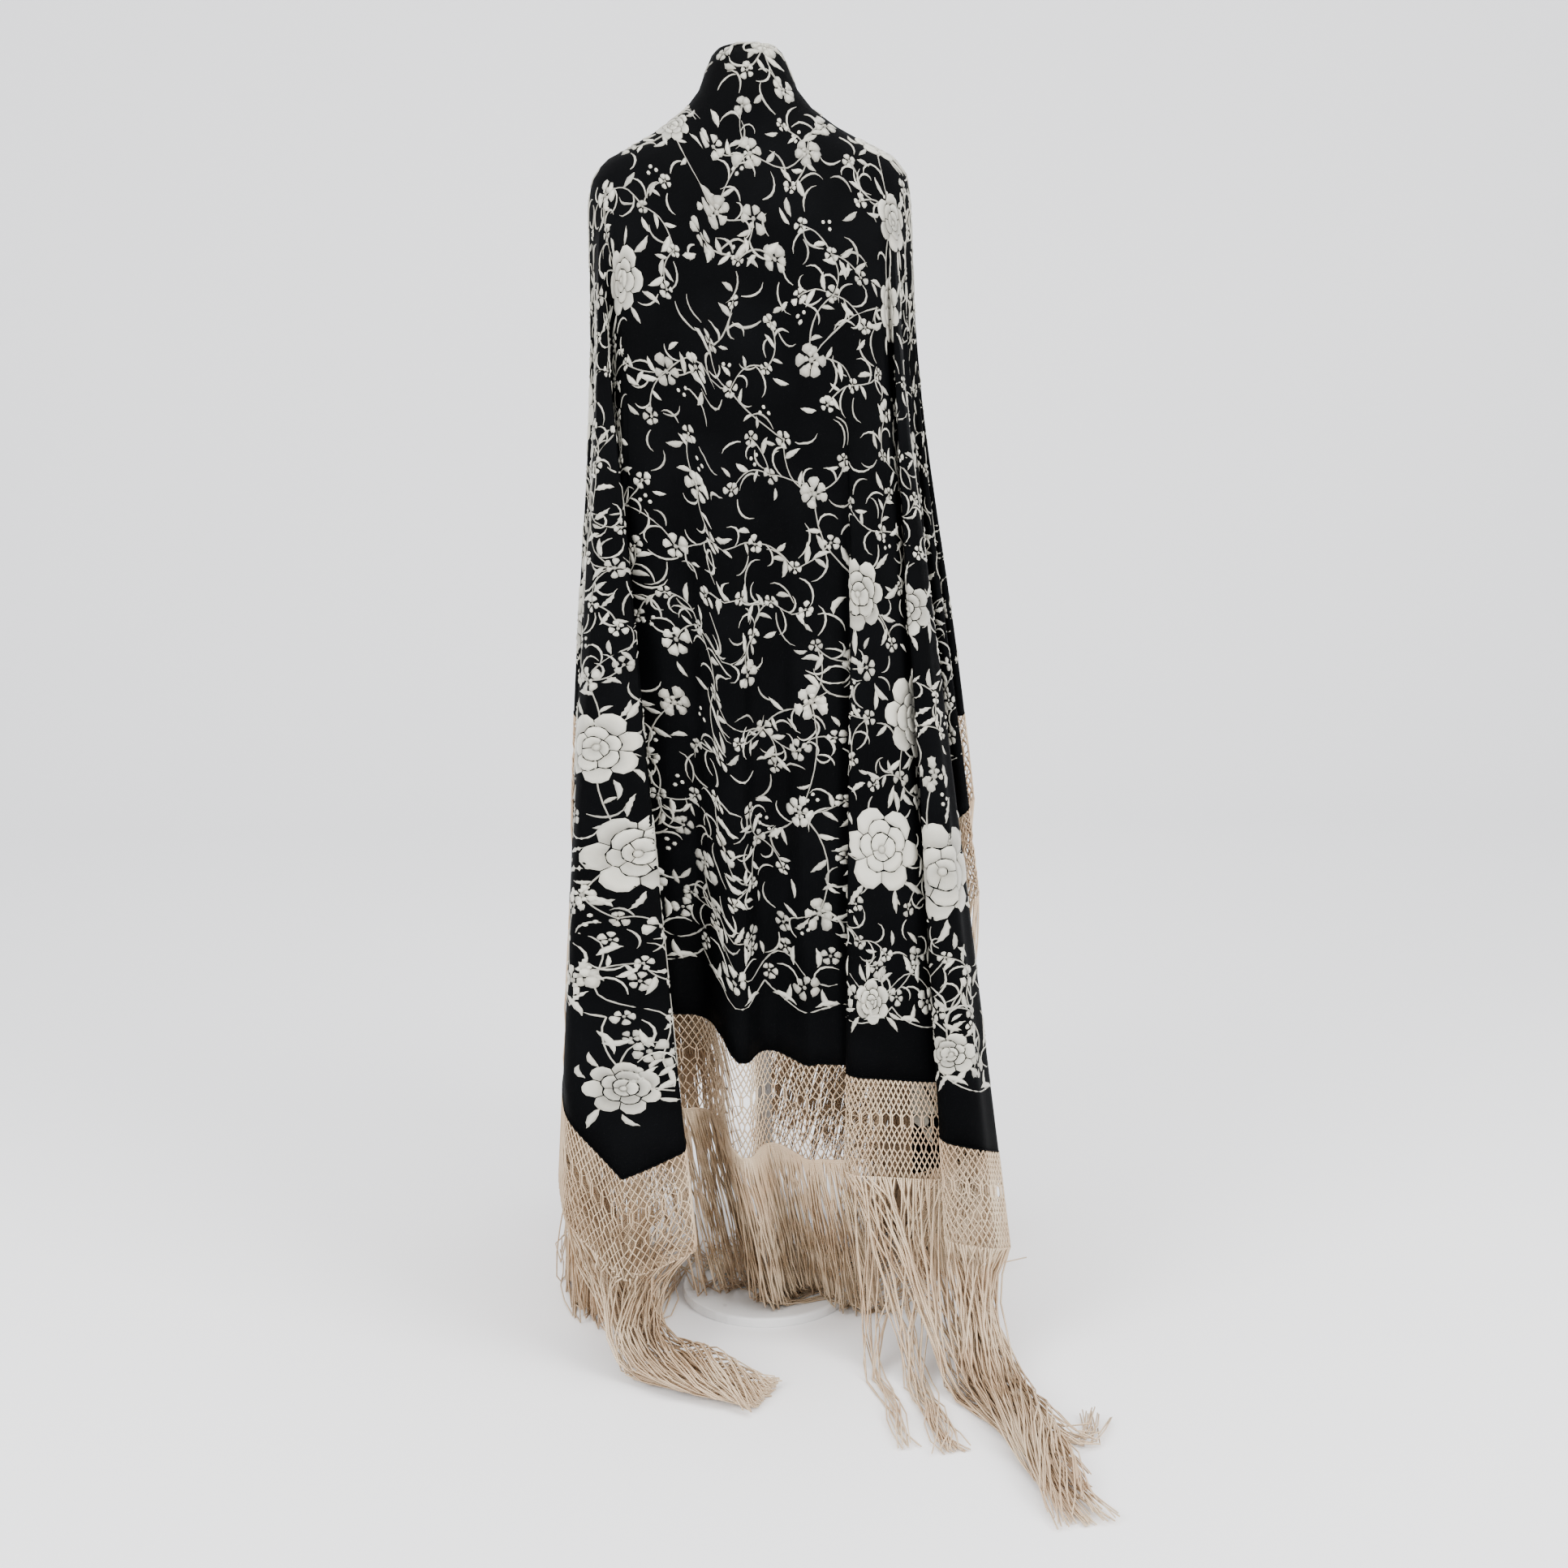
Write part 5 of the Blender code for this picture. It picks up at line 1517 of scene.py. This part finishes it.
def cloth_mesh():
    """The whole square as one sheet: columns run down from the ridge, and fan out from both shoulder tips."""
    us, (right, left) = cloth_columns(COLUMNS)
    w = np.concatenate([us, right, FAR_MIDDLE - us[::-1], left])
    hem = hem_length(w)
    tried = np.linspace(0, 0.5, LIP_SAMPLES)
    drop = looked_up(SURFACE_POINTS, *np.broadcast_arrays(w[:, None], tried[None]))
    lip = np.array([np.interp(-LIP_HEIGHT, -column[:, 2], tried) for column in drop])
    lip = np.minimum(lip, hem * 0.8)
    above = np.linspace(0, 1, ROWS_ABOVE + 1) ** 1.1
    below = np.linspace(0, 1, ROWS_BELOW + 1)[1:]
    lengths = np.concatenate([lip[:, None] * above, lip[:, None] + (hem - lip)[:, None] * below], axis=1)
    count, rows = lengths.shape
    w = np.repeat(w[:, None], rows, axis=1)
    points, _ = on_cloth(w, lengths)
    index = np.arange(count * rows).reshape(count, rows)
    m, r = len(us), len(right)
    # The far panel starts on the near panel's ridge, and each fan starts at its shoulder tip.
    index[m:m + r, 0] = index[m - 1, 0]
    index[m + r:2 * m + r, 0] = index[:m, 0][::-1]
    index[2 * m + r:, 0] = index[0, 0]
    after = np.roll(index, -1, axis=0)
    quads = np.stack([index[:, :-1], index[:, 1:], after[:, 1:], after[:, :-1]], axis=-1)
    flat = quads.reshape(-1, 4)
    pinched = flat[:, 0] == flat[:, 3]
    quads, triangles = flat[~pinched].ravel(), flat[pinched][:, :3].ravel()
    uv = flat_of(w, lengths)
    used, renumbered = np.unique(np.concatenate([quads, triangles]), return_inverse=True)
    faces = [renumbered[:len(quads)].reshape(-1, 4), renumbered[len(quads):].reshape(-1, 3)]
    return points.reshape(-1, 3)[used], faces, uv.reshape(-1, 2)[used]


def flat_of(w, length):
    """Place and length turned back into flat coordinates."""
    turned = np.mod(w + TIP_U, LOOP_LENGTH) - TIP_U
    right, left = turned - TIP_U, LEFT_END - turned
    near_u = np.clip(turned, -TIP_U, TIP_U)
    far_u = np.clip(FAR_MIDDLE - turned, -TIP_U, TIP_U)
    u, v = near_u, ridge_v(near_u) + length
    on_right = (turned > TIP_U) & (turned < RIGHT_END)
    on_far = (turned >= RIGHT_END) & (turned <= LEFT_START)
    on_left = turned > LEFT_START
    u = np.where(on_right, TIP_U + length * np.sin(right), u)
    v = np.where(on_right, RIGHT_TIP_V + length * np.cos(right), v)
    u = np.where(on_far, far_u, u)
    v = np.where(on_far, ridge_v(far_u) - length, v)
    u = np.where(on_left, -TIP_U - length * np.sin(left), u)
    v = np.where(on_left, LEFT_TIP_V + length * np.cos(left), v)
    return np.stack([u, v], axis=-1)


def make_cloth(sizes, finish):
    """The square of crepe, as a sheet that is given its thickness evenly to both sides."""
    points, faces, uv = cloth_mesh()
    made = new_piece("shawl_cloth", points, faces, finish, uv)
    wall = made.modifiers.new("wall", "SOLIDIFY")
    wall.thickness = sizes.cloth_wall
    wall.offset = 0
    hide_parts("cloth_yoke", *(f"cloth_{row[0]}" for row in STRETCHES))


# The rolled hem: points on the whole edge, and its radius.
HEM_POINTS = 1600
HEM_RADIUS = 0.00125


def make_hem(finish):
    """A narrow rolled hem: a thin closed tube that follows the edge of the cloth."""
    along = np.arange(HEM_POINTS) * 4 * SIDE / HEM_POINTS
    w, length = hem_place(along)
    path, normals = on_cloth(w, length - 0.0008)
    points, faces = tubes(path[None], HEM_RADIUS, 4, closed=True, normals=normals[None])
    uv = np.stack([np.repeat(along, 4), np.tile(np.arange(4) * 0.001, len(along))], axis=1)
    new_piece("rolled_hem", points, faces, finish, uv)


# Net and fringe: the sides of a cord's section, and the number that the strands' unevenness follows from.
CORD_SIDES = 3
FRINGE_SEED = 11


def tube_uv(paths):
    """A cord's flat coordinates: the distance along it, and a little for each of its sides."""
    along = lengths_along(paths)[..., None]
    turn = np.arange(CORD_SIDES) * 0.0012
    return np.stack(np.broadcast_arrays(along, turn), axis=-1).reshape(-1, 2)


def members_of(w):
    """For each group of stretches: its name, its members' names, and which of the cords are its own."""
    stretch, names = group_of(w), [row[0] for row in STRETCHES]
    for group, members in GROUPS.items():
        yield group, members, np.isin(stretch, [names.index(name) for name in members])


def make_nets(sizes, finish):
    """The knotted net: thin cords along its strands, one piece for each side."""
    paths, normals, w = net_strands(sizes.net_pitch)
    for group, members, mine in members_of(w[:, 0]):
        points, faces = tubes(paths[mine], sizes.net_thread / 2, CORD_SIDES, normals=normals[mine])
        piece = new_piece(f"knotted_net_{group}", points, faces, finish, tube_uv(paths[mine]))
        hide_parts(*(f"net_{name}" for name in members))


def make_fringes(sizes, finish):
    """The loose strands: cords that thin towards their ends, one piece for each side."""
    paths, w = strand_paths(np.random.default_rng(FRINGE_SEED), sizes.strand_spacing)
    taper = np.linspace(1.15, 0.8, STRAND_STEPS)[None, :] * sizes.strand_thread / 2
    for group, members, mine in members_of(w):
        points, faces = tubes(paths[mine], np.repeat(taper, mine.sum(), axis=0), CORD_SIDES)
        piece = new_piece(f"loose_fringe_{group}", points, faces, finish, tube_uv(paths[mine]))
        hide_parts(*(f"fringe_{name}" for name in members))


def make_stage(pale):
    """A pale floor that rises behind in one smooth sweep: a flat part, a quarter circle and a wall."""
    radius, back, half = 1.2, 2.6, 9.0
    turn = np.linspace(0, math.pi / 2, 24)
    y = np.concatenate([[-7.0], back + radius * np.sin(turn), [back + radius]])
    z = np.concatenate([[0.0], radius * (1 - np.cos(turn)), [7.0]])
    x = np.array([-half, half])
    points = np.stack([np.repeat(x, len(y)), np.tile(y, 2), np.tile(z, 2)], axis=1)
    k = np.arange(len(y) - 1)
    faces = np.stack([k, k + len(y), k + len(y) + 1, k + 1], axis=1)
    mesh = bpy.data.meshes.new("floor")
    mesh.from_pydata(points.tolist(), [], faces.tolist())
    made, tree, shader = new_material("studio paper", pale, 0.9)
    tone = noise(tree, object_coordinates(tree), 1.2, -1200, 0, 2.0)
    darker = tuple(c * 0.97 for c in pale[:3]) + (1.0,)
    feed(tree, shader, {"Base Color": mixed(tree, tone, pale, darker, -600, 0)})
    mesh.materials.append(made)
    mesh.shade_smooth()
    floor = bpy.data.objects.new("floor", mesh)
    bpy.context.scene.collection.objects.link(floor)


def add_light(name, place_at, aim, size, power):
    """A soft rectangular lamp at a place, turned to face the place it aims at."""
    data = bpy.data.lights.new(name, "AREA")
    data.shape = "RECTANGLE"
    data.size, data.size_y = size
    data.energy = power
    made = bpy.data.objects.new(name, data)
    away = unit(np.subtract(place_at, aim))
    side = unit(np.cross((0, 0, 1), away))
    turned = np.eye(4)
    turned[:3, 0], turned[:3, 1], turned[:3, 2], turned[:3, 3] = side, np.cross(away, side), away, place_at
    made.matrix_world = Matrix(turned.tolist())
    bpy.context.scene.collection.objects.link(made)


# Where the photograph was taken from, and how the camera was tilted and rolled.
CAMERA_PLACE = (0.030, -2.547, 1.192)
CAMERA_PITCH = math.radians(12.0)
CAMERA_ROLL = math.radians(0.77)


def make_camera():
    """The camera at the photograph's place, tilted down and rolled a little."""
    data = bpy.data.cameras.new("camera")
    data.lens = 50.0
    data.sensor_width = 36.0
    ahead = np.array([0, math.cos(CAMERA_PITCH), -math.sin(CAMERA_PITCH)])
    right, up = np.array([1.0, 0, 0]), np.array([0, math.sin(CAMERA_PITCH), math.cos(CAMERA_PITCH)])
    cosine, sine = math.cos(CAMERA_ROLL), math.sin(CAMERA_ROLL)
    turned = np.eye(4)
    turned[:3, 0] = cosine * right - sine * up
    turned[:3, 1] = sine * right + cosine * up
    turned[:3, 2] = -ahead
    turned[:3, 3] = CAMERA_PLACE
    camera = bpy.data.objects.new("camera", data)
    camera.matrix_world = Matrix(turned.tolist())
    bpy.context.scene.collection.objects.link(camera)
    bpy.context.scene.camera = camera


def make_lights():
    """An even pale world and three softboxes: left, right and above."""
    world = bpy.data.worlds.new("studio")
    bpy.context.scene.world = world
    world.use_nodes = True
    inputs = world.node_tree.nodes["Background"].inputs
    inputs["Color"].default_value = (0.93, 0.95, 1.0, 1.0)
    inputs["Strength"].default_value = 1.28
    add_light("left_softbox", (-2.4, -2.6, 2.6), (0, 0, 0.8), (1.8, 2.2), 150.0)
    add_light("right_softbox", (2.6, -2.2, 2.4), (0, 0, 0.8), (1.8, 2.2), 160.0)
    add_light("top_softbox", (0.0, -0.4, 3.6), (0, 0, 0.5), (2.6, 2.2), 95.0)


# The add-on's settings, operators and panel


def length_setting(name, description, value):
    """A length that a user may change, in metres."""
    return bpy.props.FloatProperty(
        name=name, description=description, default=value, unit="LENGTH", precision=5
    )


def colour_setting(name, description, red, green, blue):
    """A colour that a user may change."""
    return bpy.props.FloatVectorProperty(
        name=name, description=description, default=(red, green, blue, 1.0), size=4, subtype="COLOR"
    )


class ShawlSizes(bpy.types.PropertyGroup):
    cloth_wall: length_setting("Cloth thickness", "Thickness of the silk crepe", 0.0008)
    net_pitch: length_setting("Net pitch", "Width of one diamond of the net", 0.0068)
    net_thread: length_setting("Net thread", "Thickness of the net's thread", 0.0022)
    strand_spacing: length_setting("Strand spacing", "Distance between loose strands", 0.0029)
    strand_thread: length_setting("Strand thickness", "Thickness of a loose strand", 0.0023)
    layout_seed: bpy.props.IntProperty(
        name="Layout", description="Number that the small flowers' places follow from", default=5
    )


class ShawlColours(bpy.types.PropertyGroup):
    crepe: colour_setting("Crepe", "Ground of the shawl", 0.0006, 0.0007, 0.0009)
    cream: colour_setting("Cream silk", "Embroidery silk", 0.58, 0.56, 0.47)
    # A grey for the painted shade on the satin stitches, where they catch little light.
    painted_shade_grey: colour_setting("Grey silk", "Shaded stitches", 0.21, 0.20, 0.165)
    cord: colour_setting("Cord", "Net and fringe", 0.58, 0.41, 0.26)
    pale_cord: colour_setting("Pale cord", "Paler lengths", 0.74, 0.59, 0.41)
    # Old tan stains, and the painted shade on the net's left side.
    stain: colour_setting("Stain", "Old tan stains", 0.30, 0.19, 0.10)
    studio: colour_setting("Studio", "Floor and backdrop", 0.93, 0.925, 0.925)


def cord_finish(context, name, twist):
    """The cord's finish in the scene's colours, with a twist of its own."""
    colours = context.scene.shawl_colours
    return cord_material(name, tuple(colours.cord), tuple(colours.stain), tuple(colours.pale_cord), twist)


class SHAWL_OT_camera(bpy.types.Operator):
    """Adds the camera and the soft studio lights"""

    bl_idname = "shawl.camera"
    bl_label = "Camera and lights"

    def execute(self, context):
        make_camera()
        make_lights()
        return {"FINISHED"}


class SHAWL_OT_stage(bpy.types.Operator):
    """Adds the pale floor and backdrop"""

    bl_idname = "shawl.stage"
    bl_label = "Stage"

    def execute(self, context):
        make_stage(tuple(context.scene.shawl_colours.studio))
        return {"FINISHED"}


class SHAWL_OT_form(bpy.types.Operator):
    """Finishes the dress form, its pole and its base"""

    bl_idname = "shawl.form"
    bl_label = "Dress form"

    def execute(self, context):
        finishes = {"form_torso": jersey_material(), "stand_pole": painted_material()}
        finishes["stand_base"] = finishes["stand_pole"]
        for name, finish in finishes.items():
            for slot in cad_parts[name].material_slots:
                slot.material = finish
        return {"FINISHED"}


class SHAWL_OT_cloth(bpy.types.Operator):
    """Drapes the square of crepe and its rolled hem"""

    bl_idname = "shawl.cloth"
    bl_label = "Cloth"

    def execute(self, context):
        finish = crepe_material(tuple(context.scene.shawl_colours.crepe))
        make_cloth(context.scene.shawl_sizes, finish)
        make_hem(finish)
        return {"FINISHED"}


class SHAWL_OT_embroidery(bpy.types.Operator):
    """Sews the flowers, leaves, stems and border onto both faces of the cloth"""

    bl_idname = "shawl.embroidery"
    bl_label = "Embroidery"

    def execute(self, context):
        colours = context.scene.shawl_colours
        finish = stitch_material(tuple(colours.cream), tuple(colours.painted_shade_grey))
        for name, stitches in lay_out(context.scene.shawl_sizes.layout_seed).items():
            stitches.piece(f"embroidered_{name}", finish)
        return {"FINISHED"}


class SHAWL_OT_net(bpy.types.Operator):
    """Knots the net heading along all four sides"""

    bl_idname = "shawl.net"
    bl_label = "Knotted net"

    def execute(self, context):
        make_nets(context.scene.shawl_sizes, cord_finish(context, "net cord", 300.0))
        return {"FINISHED"}


class SHAWL_OT_fringe(bpy.types.Operator):
    """Hangs the loose strands and lays them on the floor"""

    bl_idname = "shawl.fringe"
    bl_label = "Fringe"

    def execute(self, context):
        make_fringes(context.scene.shawl_sizes, cord_finish(context, "fringe cord", 240.0))
        return {"FINISHED"}


class SHAWL_OT_declare(bpy.types.Operator):
    """Changes nothing: the step finishes at once"""

    bl_idname = "shawl.declare"
    bl_label = "Declare the sheet"

    def execute(self, context):
        return {"FINISHED"}


class SHAWL_PT_panel(bpy.types.Panel):
    """Lists the shawl's settings and steps"""

    bl_label = "Piano shawl"
    bl_idname = "SHAWL_PT_panel"
    bl_space_type = "VIEW_3D"
    bl_region_type = "UI"
    bl_category = "Shawl"

    def draw(self, context):
        for group in (context.scene.shawl_sizes, context.scene.shawl_colours):
            for key in group.bl_rna.properties.keys():
                if key not in ("rna_type", "name"):
                    self.layout.prop(group, key)
        for operator in OPERATORS:
            self.layout.operator(operator.bl_idname)


OPERATORS = (
    SHAWL_OT_camera,
    SHAWL_OT_stage,
    SHAWL_OT_form,
    SHAWL_OT_cloth,
    SHAWL_OT_embroidery,
    SHAWL_OT_net,
    SHAWL_OT_fringe,
    SHAWL_OT_declare,
)
CLASSES = (ShawlSizes, ShawlColours, *OPERATORS, SHAWL_PT_panel)


def register():
    for each in CLASSES:
        bpy.utils.register_class(each)
    bpy.types.Scene.shawl_sizes = bpy.props.PointerProperty(type=ShawlSizes)
    bpy.types.Scene.shawl_colours = bpy.props.PointerProperty(type=ShawlColours)


def unregister():
    del bpy.types.Scene.shawl_colours
    del bpy.types.Scene.shawl_sizes
    for each in reversed(CLASSES):
        bpy.utils.unregister_class(each)


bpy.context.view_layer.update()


def main():
    """Makes the whole scene in order."""
    register()
    for operator in OPERATORS:
        getattr(bpy.ops.shawl, operator.bl_idname.split(".")[1])()


if __name__ == "__main__":
    main()
